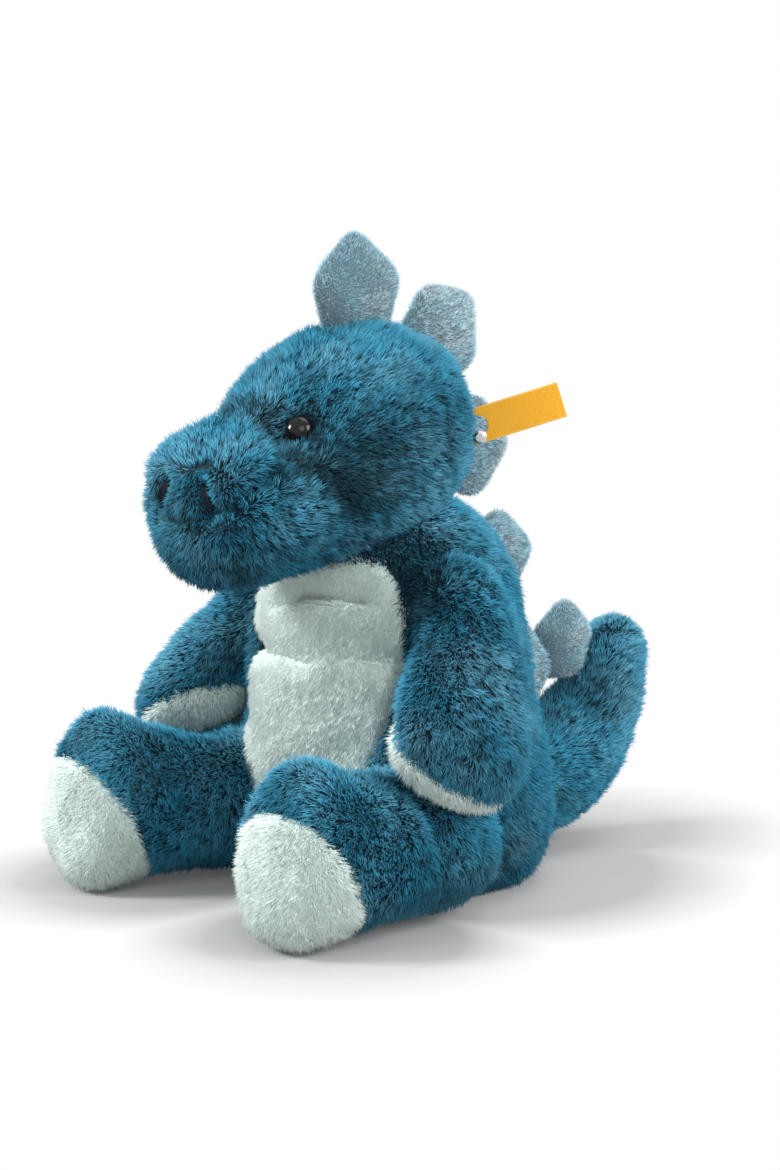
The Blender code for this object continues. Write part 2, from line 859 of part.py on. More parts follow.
def make_puck(torso):
    """The push light: cup, board with lamps and switch, sprung lens and the ring that keeps it."""
    floor = puck_wall
    board_top = board_height + board_thickness
    inner = puck_radius - puck_wall
    bezel_low = puck_height + gap
    bezel_top = bezel_low + bezel_thickness
    base = turned(
        "puck_base",
        (
            (inner, puck_height),
            (puck_radius, puck_height),
            (puck_radius, 0),
            (lead_gland_radius + gap, 0),
            (lead_gland_radius + gap, floor),
            (board_seat_inner, floor),
            (board_seat_inner, board_height - gap),
            (board_radius, board_height - gap),
            (board_radius, floor),
            (inner, floor),
        ),
        white_plastic,
    )
    bezel = turned(
        "puck_bezel",
        (
            (bezel_opening, bezel_top),
            (puck_radius, bezel_top),
            (puck_radius, bezel_low),
            (bezel_opening, bezel_low),
        ),
        white_plastic,
    )
    board = rod("led_board", board_radius, board_height, board_top, board_green, fine_steps)
    flange_top = bezel_low - gap
    flange_low = flange_top - lens_flange_thickness
    arc = [math.pi / 2 * step / lens_steps for step in range(lens_steps, -1, -1)]
    outer_arc = [(lens_radius * math.cos(a), bezel_top + lens_rise * math.sin(a)) for a in arc]
    inner_radius = lens_radius - lens_wall
    inner_arc = [
        (inner_radius * math.cos(a), bezel_top + (lens_rise - lens_wall) * math.sin(a))
        for a in reversed(arc)
        if inner_radius * math.cos(a) > plunger_radius
    ]
    outer_arc[0] = (0, bezel_top + lens_rise)
    switch_low = board_top + gap
    switch_top = switch_low + switch_height
    plunger_low = switch_top - press_travel - gap
    plunger_top = plunger_low + plunger_length
    roof = bezel_top + lens_rise - lens_wall
    lens = turned(
        "push_lens",
        (
            *outer_arc,
            (lens_radius, flange_top),
            (lens_flange_radius, flange_top),
            (lens_flange_radius, flange_low),
            (inner_radius, flange_low),
            *inner_arc,
            (plunger_radius, roof),
            (plunger_radius, plunger_top + gap),
            (0, plunger_top + gap),
        ),
        milky_plastic,
    )
    switch = block(
        "tact_switch",
        (switch_side, switch_side, switch_height),
        Vector((0, 0, (switch_low + switch_top) / 2)),
        switch_black,
    )
    bore_low = plunger_low - press_travel - gap
    bore = rod("plunger_bore", plunger_radius + plunger_play, bore_low, switch_top + overrun)
    cut(switch, bore)
    plunger = rod("switch_plunger", plunger_radius, plunger_low, plunger_top, steel)
    things = [base, bezel, board, lens, switch, bore, plunger]
    for index in range(led_count):
        turn = 2 * math.pi * (index + 0.5) / led_count
        place = Vector((math.cos(turn), math.sin(turn), 0)) * led_ring_radius
        place.z = board_top + gap + led_height / 2
        led = block("led_%d" % (index + 1), (led_length, led_width, led_height), place, led_white)
        led.rotation_euler.z = turn
        things.append(led)
    for index, side in ((1, 1), (2, -1)):
        place = Vector((side * screw_post_ring, 0, 0))
        post = rod("post_%d" % index, screw_post_radius, floor + gap, bezel_low + gap)
        screw_top = -gap + puck_screw_length
        pilot = rod("pilot_%d" % index, puck_screw_radius + gap, -overrun, screw_top + gap)
        well = rod(
            "screw_well_%d" % index, puck_screw_head_radius + gap, -overrun, puck_screw_head_height + gap
        )
        screw = turned(
            "puck_screw_%d" % index,
            (
                (0, screw_top),
                (puck_screw_radius, screw_top),
                (puck_screw_radius, puck_screw_head_height),
                (puck_screw_head_radius, puck_screw_head_height),
                (puck_screw_head_radius, 0),
                (0, 0),
            ),
            steel,
            small_steps,
        )
        for thing in (post, pilot, well, screw):
            thing.location = place
            things.append(thing)
        boolean(bezel, post, "UNION")
        cut(bezel, pilot)
        cut(base, pilot, well)
    pocket = rod(
        "puck_pocket", puck_radius + gap, -gap, bezel_top + lens_rise + overrun, steps=neck_steps
    )
    things.append(pocket)
    cut(torso, pocket)
    frame = frame_towards(puck_place, Vector((0, -1, 0)))
    holder("light_puck", frame, *things)


def flap_frame():
    outward = Vector((-math.sin(flap_turn), math.cos(flap_turn), 0))
    reach = Vector((2 * outward.x / torso_width, 2 * outward.y / torso_depth, 0)).length
    place = outward * (flap_out_share / reach)
    place.z = flap_height_place
    facing = outward * math.cos(flap_lean) + Vector((0, 0, math.sin(flap_lean)))
    return frame_towards(place, facing)


def flap_prism(name, clearance, low, high):
    """A box across the flap, from low to high on it, that runs through the torso's skin."""
    depth = torso_depth / 2
    size = (flap_width + 2 * clearance, high - low + 2 * clearance, depth)
    prism = block(name, size, Vector())
    prism.matrix_world = flap_frame() @ Matrix.Translation((0, (low + high) / 2, 0))
    return prism


def make_flap(torso):
    """The flap is the torso's own surface over the battery box, closed by hook and loop."""
    low = -flap_height / 2
    high = flap_height / 2
    strip_low = low + strip_margin
    strip_high = strip_low + strip_height
    under = -skin - gap
    recess = flap_prism("flap_recess", gap, low, high)
    cut(recess, torso_form("torso_under_flap", under))
    loop_room = flap_prism("loop_room", gap, strip_low, strip_high)
    cut(loop_room, torso_form("torso_under_loop", under - gap - strip_thickness - gap))
    cut(torso, recess, loop_room)
    flap = torso_form("access_flap", material=blue_plush)
    boolean(flap, flap_prism("flap_outline", 0.0, low, high), "INTERSECT")
    cut(flap, torso_form("flap_inside", -skin))
    hook_room = flap_prism("hook_room", gap, strip_low, strip_high)
    boolean(hook_room, torso_form("hook_room_form", -skin + strip_thickness + gap), "INTERSECT")
    cut(flap, hook_room)
    narrow = -strip_margin
    hook = torso_form("hook_strip", -skin + strip_thickness, strip_grey)
    boolean(hook, flap_prism("hook_outline", 0.0, strip_low, strip_high), "INTERSECT")
    cut(hook, torso_form("hook_inside", -skin))
    loop = torso_form("loop_strip", under - gap, strip_grey)
    boolean(loop, flap_prism("loop_outline", 0.0, strip_low, strip_high), "INTERSECT")
    cut(loop, torso_form("loop_inside", under - gap - strip_thickness))
    return flap, hook, loop


def make_battery_box(torso):
    """A tray of cells with a screwed cover. Local Z points out through the flap, local Y is up."""
    pitch = 2 * cell_radius + gap
    inside = Vector(
        (
            cell_count * pitch + gap,
            cell_length + 2 * (contact_thickness + 2 * gap),
            2 * (cell_radius + gap),
        )
    )
    outside = Vector(
        (inside.x + 2 * box_wall, inside.y + 2 * box_wall + screw_boss_height, inside.z + box_wall)
    )
    top = -box_depth_place
    cells_at = top - cell_radius - gap
    floor = top - inside.z - box_wall
    lift = screw_boss_height / 2
    tray = block("battery_box", outside, Vector((0, lift, (top + floor) / 2)), white_plastic)
    hollow = block(
        "cell_hollow",
        (inside.x, inside.y, inside.z + overrun),
        Vector((0, 0, top - (inside.z - overrun) / 2)),
    )
    cut(tray, hollow)
    cover = block(
        "battery_cover",
        (outside.x, outside.y, cover_thickness),
        Vector((0, lift, top + gap + cover_thickness / 2)),
        white_plastic,
    )
    things = [tray, hollow, cover]
    for index in range(cell_count):
        cell = rod(
            "cell_%d" % (index + 1), cell_radius, -cell_length / 2, cell_length / 2, cell_wrap, small_steps
        )
        cell.location = ((index - (cell_count - 1) / 2) * pitch, 0, cells_at)
        cell.rotation_euler.x = math.pi / 2
        things.append(cell)
    for name, side in (("contact_top", 1), ("contact_bottom", -1)):
        place = Vector((0, side * (cell_length / 2 + gap + contact_thickness / 2), cells_at))
        size = (inside.x - 2 * gap, contact_thickness, inside.z - 2 * gap)
        things.append(block(name, size, place, steel))
    screw_at = Vector((0, inside.y / 2 + box_wall + screw_boss_height / 2, top + gap))
    head_low = cover_thickness - cover_screw_head_height
    screw = turned(
        "cover_screw",
        (
            (0, cover_thickness),
            (cover_screw_head_radius, cover_thickness),
            (cover_screw_head_radius, head_low),
            (cover_screw_radius, head_low),
            (cover_screw_radius, -cover_screw_length),
            (0, -cover_screw_length),
        ),
        steel,
        small_steps,
    )
    screw_bore = turned(
        "cover_screw_bore",
        (
            (0, cover_thickness + overrun),
            (cover_screw_head_radius + gap, cover_thickness + overrun),
            (cover_screw_head_radius + gap, head_low - gap),
            (cover_screw_radius + gap, head_low - gap),
            (cover_screw_radius + gap, -cover_screw_length - gap),
            (0, -cover_screw_length - gap),
        ),
        steps=small_steps,
    )
    for thing in (screw, screw_bore):
        thing.location = screw_at
        things.append(thing)
    cut(cover, screw_bore)
    cut(tray, screw_bore)
    reach = box_depth_place
    pocket = block(
        "box_pocket",
        (outside.x + 2 * gap, outside.y + 2 * gap, top - floor + reach + gap),
        Vector((0, lift, floor - gap + (top - floor + reach + gap) / 2)),
    )
    pocket_lid = torso_form("pocket_lid", -skin)
    boolean(pocket, pocket_lid, "INTERSECT")
    things.append(pocket)
    cut(torso, pocket)
    holder("battery_pocket", flap_frame(), *things)
    return floor


def tube(name, points, radius, material=None):
    curve = bpy.data.curves.new(name, "CURVE")
    curve.dimensions = "3D"
    curve.bevel_depth = radius
    curve.bevel_resolution = tube_resolution
    curve.use_fill_caps = True
    spline = curve.splines.new("POLY")
    spline.points.add(len(points) - 1)
    for knot, place in zip(spline.points, points):
        knot.co = (*place, 1)
    thing = bpy.data.objects.new(name, curve)
    cutters.objects.link(thing)
    return as_mesh(thing, material)


def make_lead(torso, box_floor):
    """The lead runs from the back of the battery box to the middle of the puck's rear face."""
    start = flap_frame() @ Vector((0, 0, box_floor - gap))
    into = flap_frame().to_3x3() @ Vector((0, 0, -1))
    end = puck_place + Vector((0, gap, 0))
    back = Vector((0, 1, 0))
    reach = (end - start).length * lead_slack_share
    knots = (start, start + into * reach, end + back * reach, end)

    def at(share):
        rest = 1 - share
        weights = (rest**3, 3 * rest**2 * share, 3 * rest * share**2, share**3)
        return sum((knot * weight for knot, weight in zip(knots, weights)), Vector())

    route = [at(step / lead_steps) for step in range(lead_steps + 1)]
    lead = tube("light_lead", route, lead_radius, lead_white)
    ends = [start - into * overrun, *route, end - back * overrun]
    channel = tube("lead_channel", ends, lead_radius + gap)
    cut(torso, channel)
    return lead


def main():
    clear_scene()
    ground = make_ground()
    torso = make_torso(ground)
    make_belly_panel(torso)
    head = make_head()
    head_form("head_swelled", gap)
    torso_form("torso_swelled", gap)
    tail_form("tail_swelled", gap)
    neck_clear = ball("neck_clear", neck_radius + gap, Vector((0, 0, neck_height)), neck_steps)
    neck = Matrix.Translation((0, 0, neck_height))
    head_things = [head]
    for side, mirror in sides():
        head_things += make_eye(side, mirror, head)
        head_things.append(make_nostril(side, mirror))
    ribbon, rivet = make_tag()
    carriers = {
        "head": ([bpy.data.objects["head_swelled"]], head_things),
        "back": ([bpy.data.objects["torso_swelled"], neck_clear], []),
        "tail": ([bpy.data.objects["tail_swelled"]], []),
    }
    tail_run = tail_end.y - tail_root.y
    for name, (along, up), lean, size in plate_place_shares:
        kind = name.split("_")[0]
        places = {
            "head": on_head(0, along, up),
            "back": Vector((0, torso_depth * along, torso_height * up)),
            "tail": Vector((0, tail_root.y + tail_run * along, tail_end.z * up)),
        }
        carrier, things = carriers[kind]
        things.append(make_plate(name, places[kind], lean, size, carrier))
    carry(holder("neck_joint", neck), *head_things)
    tag_joint = holder("tag_joint", Matrix.Translation(on_head(*tag_place_shares)))
    carry(tag_joint, ribbon, rivet)
    for side, mirror in sides():
        shoulder_joint = holder("shoulder_joint" + side, Matrix.Translation(mirror(shoulder)))
        carry(shoulder_joint, *make_arm(side, mirror))
        hip_joint = holder("hip_joint" + side, Matrix.Translation(mirror(hip)))
        carry(hip_joint, *make_leg(side, mirror, ground))
    tail_joint = holder("tail_joint", Matrix.Translation(tail_root))
    carry(tail_joint, make_tail(ground), *carriers["tail"][1])
    make_puck(torso)
    box_floor = make_battery_box(torso)
    flap, hook, loop = make_flap(torso)
    top_edge = flap_frame() @ Matrix.Translation((0, flap_height / 2, 0))
    carry(holder("flap_joint", top_edge), flap, hook)
    make_lead(torso, box_floor)


main()
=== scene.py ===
"""Looks of a seated plush dinosaur night light: pile on its sewn forms, thread, ribbon and plastic.

The toy faces -Y, its left side is +X and it sits on Z = 0. Each sewn form is a smooth surface with
lumps and creases, and its pile is made of short pointed tufts that lie along the nap and lean
together in locks.
"""

import json
import math

import bmesh
import bpy
import numpy as np
from bpy.props import FloatProperty, FloatVectorProperty, PointerProperty
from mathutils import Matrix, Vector


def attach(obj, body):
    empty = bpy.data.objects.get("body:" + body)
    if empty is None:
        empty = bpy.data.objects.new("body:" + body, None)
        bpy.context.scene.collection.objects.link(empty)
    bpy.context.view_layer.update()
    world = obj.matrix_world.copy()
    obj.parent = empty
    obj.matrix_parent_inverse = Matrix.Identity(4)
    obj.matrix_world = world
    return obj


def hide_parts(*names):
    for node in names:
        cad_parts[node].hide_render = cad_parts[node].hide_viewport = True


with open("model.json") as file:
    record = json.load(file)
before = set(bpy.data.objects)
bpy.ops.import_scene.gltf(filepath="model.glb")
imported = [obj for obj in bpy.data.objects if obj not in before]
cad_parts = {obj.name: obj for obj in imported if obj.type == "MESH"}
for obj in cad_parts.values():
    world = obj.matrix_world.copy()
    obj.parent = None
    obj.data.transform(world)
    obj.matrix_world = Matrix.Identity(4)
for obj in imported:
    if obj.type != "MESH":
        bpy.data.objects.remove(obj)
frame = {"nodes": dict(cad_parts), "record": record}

bl_info = {
    "name": "Plush dinosaur night light",
    "version": (1, 0, 0),
    "blender": (4, 5, 0),
    "location": "View3D > Sidebar > Night light",
    "description": "Dresses a seated plush dinosaur night light in pile, thread and plastic",
    "category": "Object",
}

UP = np.array((0.0, 0.0, 1.0))

# The sewn forms, as the part's source has them, in metres
TORSO_HEIGHT, TORSO_WIDTH, TORSO_DEPTH = 0.172, 0.136, 0.122
TORSO_SHARES = np.array(
    (  # height, width, depth, place along Y
        (-0.022, 0.81, 0.79, 0.07),
        (0.05, 0.96, 0.94, 0.07),
        (0.18, 1.00, 1.00, 0.06),
        (0.36, 0.98, 0.98, 0.02),
        (0.54, 0.93, 0.93, -0.01),
        (0.71, 0.84, 0.87, 0.00),
        (0.85, 0.69, 0.74, 0.01),
        (0.95, 0.45, 0.49, 0.01),
        (1.00, 0.20, 0.20, 0.01),
    )
)
NECK = np.array((0.0, 0.0, 0.117))
NECK_RADIUS = 0.055
SOCKET = 0.0009

HEAD_PLACE = np.array((0.0, 0.0, 0.200))
HEAD_BACK, HEAD_LENGTH, HEAD_SIZE = 0.026, 0.142, 0.098
HEAD_SHARES = np.array(
    (  # distance from the back, width, height, lift of the centre
        (0.00, 0.26, 0.26, 0.01),
        (0.05, 0.57, 0.57, 0.01),
        (0.155, 0.87, 0.89, -0.01),
        (0.32, 1.00, 0.96, -0.02),
        (0.48, 1.00, 0.96, -0.05),
        (0.62, 0.94, 0.90, -0.12),
        (0.745, 0.85, 0.75, -0.25),
        (0.865, 0.81, 0.68, -0.31),
        (0.965, 0.66, 0.55, -0.31),
        (1.00, 0.30, 0.24, -0.31),
    )
)

SHOULDER = np.array((0.046, -0.008, 0.138))
ELBOW = np.array((0.080, -0.018, 0.120))
PAW_END = np.array((0.097, -0.056, 0.061))
ARM_THICKNESS, PAW_WIDTH = 0.038, 0.062
RIGHT_ELBOW, RIGHT_PAW_END = np.array((-0.071, -0.018, 0.110)), np.array((-0.092, -0.056, 0.055))
PAD_FACING = np.array((-0.62, -0.18, -0.76))
PAD_DEPTH, PAD_SHARE, WRIST_SHARE = 0.0082, 0.78, 0.5
CAP_COVER, CAP_THICKNESS, CAP_ROLL, CAP_RAMP = 0.0004, 0.0022, 0.0035, 0.0010
ARM_SHARES = np.array(
    (  # place along the arm, width, thickness
        (0.00, 0.50, 0.66),
        (0.15, 0.62, 0.86),
        (0.35, 0.67, 0.99),
        (0.55, 0.76, 1.00),
        (0.74, 0.92, 1.02),
        (0.90, 0.92, 0.92),
        (0.98, 0.68, 0.62),
        (1.00, 0.32, 0.28),
    )
)

HIP = np.array((0.050, -0.020, 0.034))
KNEE = np.array((0.068, -0.070, 0.031))
TOE_END = np.array((0.068, -0.124, 0.042))
FOOT_WIDTH, FOOT_HEIGHT = 0.056, 0.083
SOLE_FACING = np.array((0.12, -0.88, -0.47))
SOLE_SET_BACK = 0.010
LEG_SHARES = np.array(
    (  # place along the leg, width, height
        (0.00, 1.16, 0.66),
        (0.22, 1.30, 0.70),
        (0.45, 1.20, 0.66),
        (0.66, 1.04, 0.74),
        (0.82, 1.02, 0.88),
        (0.93, 0.92, 0.90),
        (0.99, 0.62, 0.66),
        (1.00, 0.30, 0.32),
    )
)

TAIL_ROOT = np.array((0.0, 0.058, 0.036))
TAIL_BEND = np.array((0.0, 0.126, 0.010))
TAIL_END = np.array((0.0, 0.142, 0.100))
TAIL_THICKNESS = 0.050
# TAIL_INNER is where the tail swells; UNDER_TAIL_PLATE is the centre of the painted shade under the
# tail plate
TAIL_INNER, UNDER_TAIL_PLATE = (0.0985, 0.0600), (0.1120, 0.0640)
TAIL_FULLER = (0.0062, 0.016)
TAIL_SHARES = np.array(
    (  # place along the tail, thickness twice
        (0.00, 0.90, 0.90),
        (0.20, 1.00, 1.00),
        (0.40, 0.96, 0.96),
        (0.60, 0.84, 0.84),
        (0.78, 0.70, 0.70),
        (0.92, 0.58, 0.58),
        (0.985, 0.40, 0.40),
        (1.00, 0.20, 0.20),
    )
)

PANEL_TOP, PANEL_BOTTOM, PANEL_WIDTH = 0.136, 0.030, 0.092
PANEL_TUCK, PANEL_SINK, PANEL_DEPTH, PANEL_RAMP = 0.010, 0.0042, 0.0035, 0.0012
PANEL_GAP, PANEL_PROUD, PANEL_ROUND, PANEL_ROLL = 0.0003, 0.0010, 0.0030, 0.0045
PANEL_SHARES = np.array(
    (  # height, half width on the left side, half width on the right side
        (0.00, 0.300, 0.340),
        (0.28, 0.420, 0.450),
        (0.50, 0.490, 0.505),
        (0.62, 0.505, 0.480),
        (0.70, 0.510, 0.430),
        (0.78, 0.505, 0.475),
        (0.88, 0.500, 0.490),
        (1.00, 0.440, 0.470),
        (1.09, 0.350, 0.400),
    )
)

FLAP_TURN, FLAP_LEAN = math.radians(48), math.radians(9)
FLAP_HEIGHT_PLACE, FLAP_OUT_SHARE = 0.096, 0.929
FLAP_WIDTH, FLAP_HEIGHT = 0.048, 0.070
FLAP_SINK, FLAP_DEPTH, FLAP_REACH = 0.0046, 0.0026, 0.022
STRIPS = ("hook_strip", "flap", 0.0028, 820), ("loop_strip", "torso", 0.0048, 830)
FLAP_ROOM, FLAP_RAMP, BOX_EDGE, BOX_ROOM = 0.0006, 0.0010, 0.0008, 0.0006
FLAP_PROUD, FLAP_ROUND, FLAP_ROLL, FLAP_THINNER = 0.0004, 0.0016, 0.0040, 0.0008
STRIP_HEIGHT, STRIP_MARGIN, STRIP_INSET, STRIP_DEPTH = 0.0065, 0.0012, 0.0015, 0.0006

PLATE_LENGTH, PLATE_HEIGHT, PLATE_THICKNESS = 0.050, 0.046, 0.011
PLATE_SHARES = np.array(((-0.34, -0.10), (-0.51, 0.55), (0.00, 1.01), (0.51, 0.53), (0.34, -0.10)))
PLATES = (
    # name, place along Y and Z of its root, lean towards the back in degrees, size, body
    ("head_plate_1", (-0.02100, 0.24155), -3, 0.96, "head"),
    ("head_plate_2", (0.01450, 0.22850), 49, 0.91, "head"),
    ("head_plate_3", (0.02799, 0.18853), 90, 0.92, "head"),
    ("back_plate_1", (0.04850, 0.13500), 82, 0.84, "torso"),
    ("back_plate_2", (0.05850, 0.08204), 86, 0.92, "torso"),
    ("tail_plate", (0.10596, 0.0800), 2, 0.74, "tail"),
)

EYE_SHARES = np.array((0.281, 0.722, 0.068))
EYE_FACING = np.array((0.60, -0.68, 0.42))
EYE_RADIUS, EYE_HEIGHT, EYE_PULL = 0.0058, 0.0040, 0.0058
STEM_RADIUS, STEM_LENGTH = 0.0018, 0.012
NOSTRIL_SHARES = np.array((0.150, 0.989, -0.225))
NOSTRIL_LENGTH, NOSTRIL_LEAN = 0.010, math.radians(24)
EYE_SOCKET, NOSTRIL_DIMPLE = (0.0082, 0.0125), (0.0046, 0.0042)
EYE_ROOM, NOSTRIL_ROOM = 0.0003, 0.0016
# CHEEK and UNDER_CHIN are the centres of painted shade on the cheek and under the chin
CHEEK, UNDER_CHIN = np.array((0.047, -0.055, 0.185)), np.array((0.043, -0.036, 0.138))
TAG_SHARES = np.array((0.336, 0.082, 0.0))
TAG_FACING = np.array((0.643, 0.766, 0.0))
TAG_TILT = math.radians(17.5)
TAG_LENGTH, TAG_WIDTH, TAG_THICKNESS = 0.042, 0.0155, 0.0004
TAG_ARCH_LENGTH, TAG_ARCH_HALF = 0.0088, 0.0052

# Lumps of the stuffing: height and size of the broad ones and of the fine ones
HEAD_LUMPS, BODY_LUMPS = ((0.0012, 0.028), (0.0006, 0.013)), ((0.0011, 0.030), (0.0006, 0.014))
ARM_LUMPS, LEG_LUMPS = ((0.0011, 0.024), (0.0005, 0.012)), ((0.0013, 0.028), (0.0006, 0.013))
TAIL_LUMPS = (0.0012, 0.026), (0.0006, 0.013)

# Creases pulled into the head, the belly and the legs by their seams and stitches
HEAD_CREASES = (
    # depth, half width, points on the left side
    (0.0040, 0.0062, ((0.0, -0.0891, 0.2073), (0.0041, -0.0847, 0.2099), (0.0189, -0.0847, 0.2062),
                      (0.0285, -0.0844, 0.2005))),
    (0.0040, 0.0046, ((0.0211, -0.0863, 0.2041), (0.0301, -0.0883, 0.196),
                      (0.0355, -0.0853, 0.1922), (0.0382, -0.0759, 0.1958))),
    (0.0042, 0.0040, ((0.0, -0.1155, 0.1690), (0.0159, -0.1147, 0.168), (0.0265, -0.1113, 0.1729),
                      (0.0312, -0.1057, 0.1803), (0.0339, -0.0964, 0.1864))),
    (0.0036, 0.0048, ((0.0339, -0.0964, 0.1864), (0.0373, -0.0846, 0.189), (0.0423, -0.075, 0.1846),
                      (0.0437, -0.0689, 0.1792), (0.0419, -0.0589, 0.1706))),
    (0.0014, 0.0028, ((0.0213, -0.0156, 0.2387), (0.0359, -0.0148, 0.2271),
                      (0.0437, -0.0137, 0.2133), (0.0463, -0.0125, 0.1965),
                      (0.0391, -0.0051, 0.1782))),
    (0.0016, 0.0030, ((0.0, -0.0930, 0.1360), (0.0103, -0.0974, 0.1393), (0.0274, -0.1051, 0.1527),
                      (0.0303, -0.1092, 0.1658))),
)
HEAD_SWELLS = (
    # height, reach, place on the left side: muzzle, forehead, chin and bridge
    (0.0044, 0.018, (0.0320, -0.0980, 0.1880)),
    (-0.0022, 0.024, (0.0280, -0.0550, 0.2280)),
    (-0.0022, 0.016, (0.0240, -0.1000, 0.1480)),
    (0.0028, 0.014, (0.0060, -0.0840, 0.2095)),
)
BELLY_CREASES = (
    (0.0044, 0.0054, ((-0.0400, -0.0420, 0.1035), (-0.0285, -0.0488, 0.1048),
                      (-0.0076, -0.0542, 0.108), (0.0056, -0.0547, 0.106))),
    (0.0050, 0.0056, ((0.0272, -0.0476, 0.1126), (0.0373, -0.0422, 0.1091),
                      (0.0449, -0.0366, 0.1044))),
)
CHIN_FOLD = ((-0.0089, -0.0502, 0.1239), (0.0056, -0.0492, 0.1283), (0.0186, -0.046, 0.1293),
             (0.0296, -0.0413, 0.128))
CHIN_FOLD_DEPTH = 0.0052
LEG_CREASES = (
    (0.0030, 0.0045, ((0.0452, -0.0973, 0.0643), (0.0411, -0.0924, 0.0555),
                      (0.0369, -0.0904, 0.0382))),
    (0.0030, 0.0060, ((0.0560, -0.0560, 0.0660), (0.0760, -0.0600, 0.0620),
                      (0.0960, -0.0560, 0.0400))),
)


def size_setting(name, description, default):
    return FloatProperty(name=name, description=description, default=default, unit="LENGTH")


def colour_setting(name, description, default):
    return FloatVectorProperty(
        name=name, description=description, default=default, subtype="COLOR"
    )


class PlushDinosaurSettings(bpy.types.PropertyGroup):
    """Sizes and colours of the toy's pile."""

    pile_length: size_setting("Pile length", "Length of the blue pile", 0.0056)
    belly_pile_length: size_setting("Belly pile", "Length of the pale pile", 0.0044)
    plate_pile_length: size_setting("Plate pile", "Length of the back plates' pile", 0.0021)
    pile_width: size_setting("Tuft width", "Width of one tuft at its root", 0.00094)
    pile_density: FloatProperty(
        name="Tufts", description="Tufts of blue pile on a square millimetre", default=1.88
    )
    lock_size: size_setting("Lock size", "How far apart the locks are", 0.0028)
    skin_step: size_setting("Skin step", "Spacing of the fabric's grid", 0.0020)
    blue: colour_setting("Blue pile", "Tips of the blue pile", (0.062, 0.440, 0.680))
    mint: colour_setting("Pale pile", "Tips of the pale pile", (0.862, 0.985, 0.938))
    plate: colour_setting("Plate pile colour", "Tips of the plates' pile", (0.50, 0.82, 0.97))
    ribbon: colour_setting("Ribbon colour", "Colour of the ribbon", (0.92, 0.44, 0.015))


def settings():
    return bpy.context.scene.plush_dinosaur


# ---------------------------------------------------------------- arrays

def unit(vectors):
    """Each vector divided by its own length."""
    length = np.linalg.norm(vectors, axis=-1, keepdims=True)
    return vectors / np.maximum(length, 1e-12)


def ease(values):
    """0 below 0 and 1 above 1, with a smooth rise between them."""
    share = np.clip(values, 0, 1)
    return share * share * (3 - 2 * share)


def bell(distance, reach):
    """exp(-(distance/reach)^2)"""
    return np.exp(-((distance / reach) ** 2))


def dip(distance, shape):
    """A bell of a depth and a reach."""
    depth, reach = shape
    return depth * bell(distance, reach)


def distances(points, place):
    return np.linalg.norm(points - np.asarray(place), axis=1)


def scatter(cells, seed):
    """A number from 0 to 1 for each cell of a lattice: its coordinates, multiplied and mixed."""
    whole = cells.astype(np.int64).astype(np.uint32)
    mixed = whole[..., 0] * np.uint32(374761393) + whole[..., 1] * np.uint32(668265263)
    mixed = mixed + whole[..., 2] * np.uint32(2246822519) + np.uint32(seed * 97 + 13)
    mixed = (mixed ^ (mixed >> np.uint32(13))) * np.uint32(1274126177)
    mixed = (mixed ^ (mixed >> np.uint32(15))) * np.uint32(2654435761)
    return (mixed ^ (mixed >> np.uint32(16))).astype(np.float64) / 4294967295.0


def lattice(steps):
    return np.array([(x, y, z) for x in steps for y in steps for z in steps])


def ripple(points, size, seed):
    """Smooth noise from -1 to 1: the lattice's numbers around a point, eased between cells."""
    cells = np.floor(points / size)
    part = points / size - cells
    part = part * part * (3 - 2 * part)
    total = np.zeros(points.shape[:-1])
    for corner in lattice((0, 1)):
        weight = np.prod(np.where(corner, part, 1 - part), axis=-1)
        total += weight * scatter(cells + corner, seed)
    return 2 * total - 1


def lumps(points, seed, *kinds):
    """Lumps of the stuffing: the sum of height times smooth noise of a size, for each kind."""
    return sum(
        height * ripple(points, size, seed + k) for k, (height, size) in enumerate(kinds)
    )


def nearest_lock(points, size, seed):
    """The nearest of the points that lie one in each lattice cell, moved at random within it, and
    that cell's own number."""
    cells = np.floor(points / size)
    best = np.full(len(points), np.inf)
    place = np.zeros_like(points)
    number = np.zeros(len(points))
    for offset in lattice((-1, 0, 1)):
        cell = cells + offset
        shift = np.stack([scatter(cell, seed + k) for k in (1, 2, 3)], axis=-1)
        spot = (cell + shift) * size
        far = ((spot - points) ** 2).sum(axis=-1)
        closer = far < best
        best = np.where(closer, far, best)
        place[closer] = spot[closer]
        number = np.where(closer, scatter(cell, seed + 4), number)
    return place, number


def line_distance(points, line):
    """Distance from each point to the nearest segment of a line of points."""
    line = np.asarray(line, dtype=float)
    best = np.full(len(points), np.inf)
    for start, end in zip(line[:-1], line[1:]):
        along = end - start
        share = np.clip((points - start) @ along / (along @ along), 0, 1)
        near = start + share[:, None] * along
        best = np.minimum(best, distances(points, near))
    return best


def both_sides(points):
    """The points with their X made positive, so that one side's lines serve both."""
    folded = points.copy()
    folded[:, 0] = np.abs(folded[:, 0])
    return folded


def creased(points, creases):
    """How deep the creases are at each point: each falls off as exp(-(distance/half width)^2)."""
    depth = np.zeros(len(points))
    for deep, wide, line in creases:
        depth += deep * bell(line_distance(points, line), wide)
    return depth


def mirrored(vector, side):
    return np.asarray(vector, dtype=float) * np.array((side, 1.0, 1.0))


# ---------------------------------------------------------------- forms

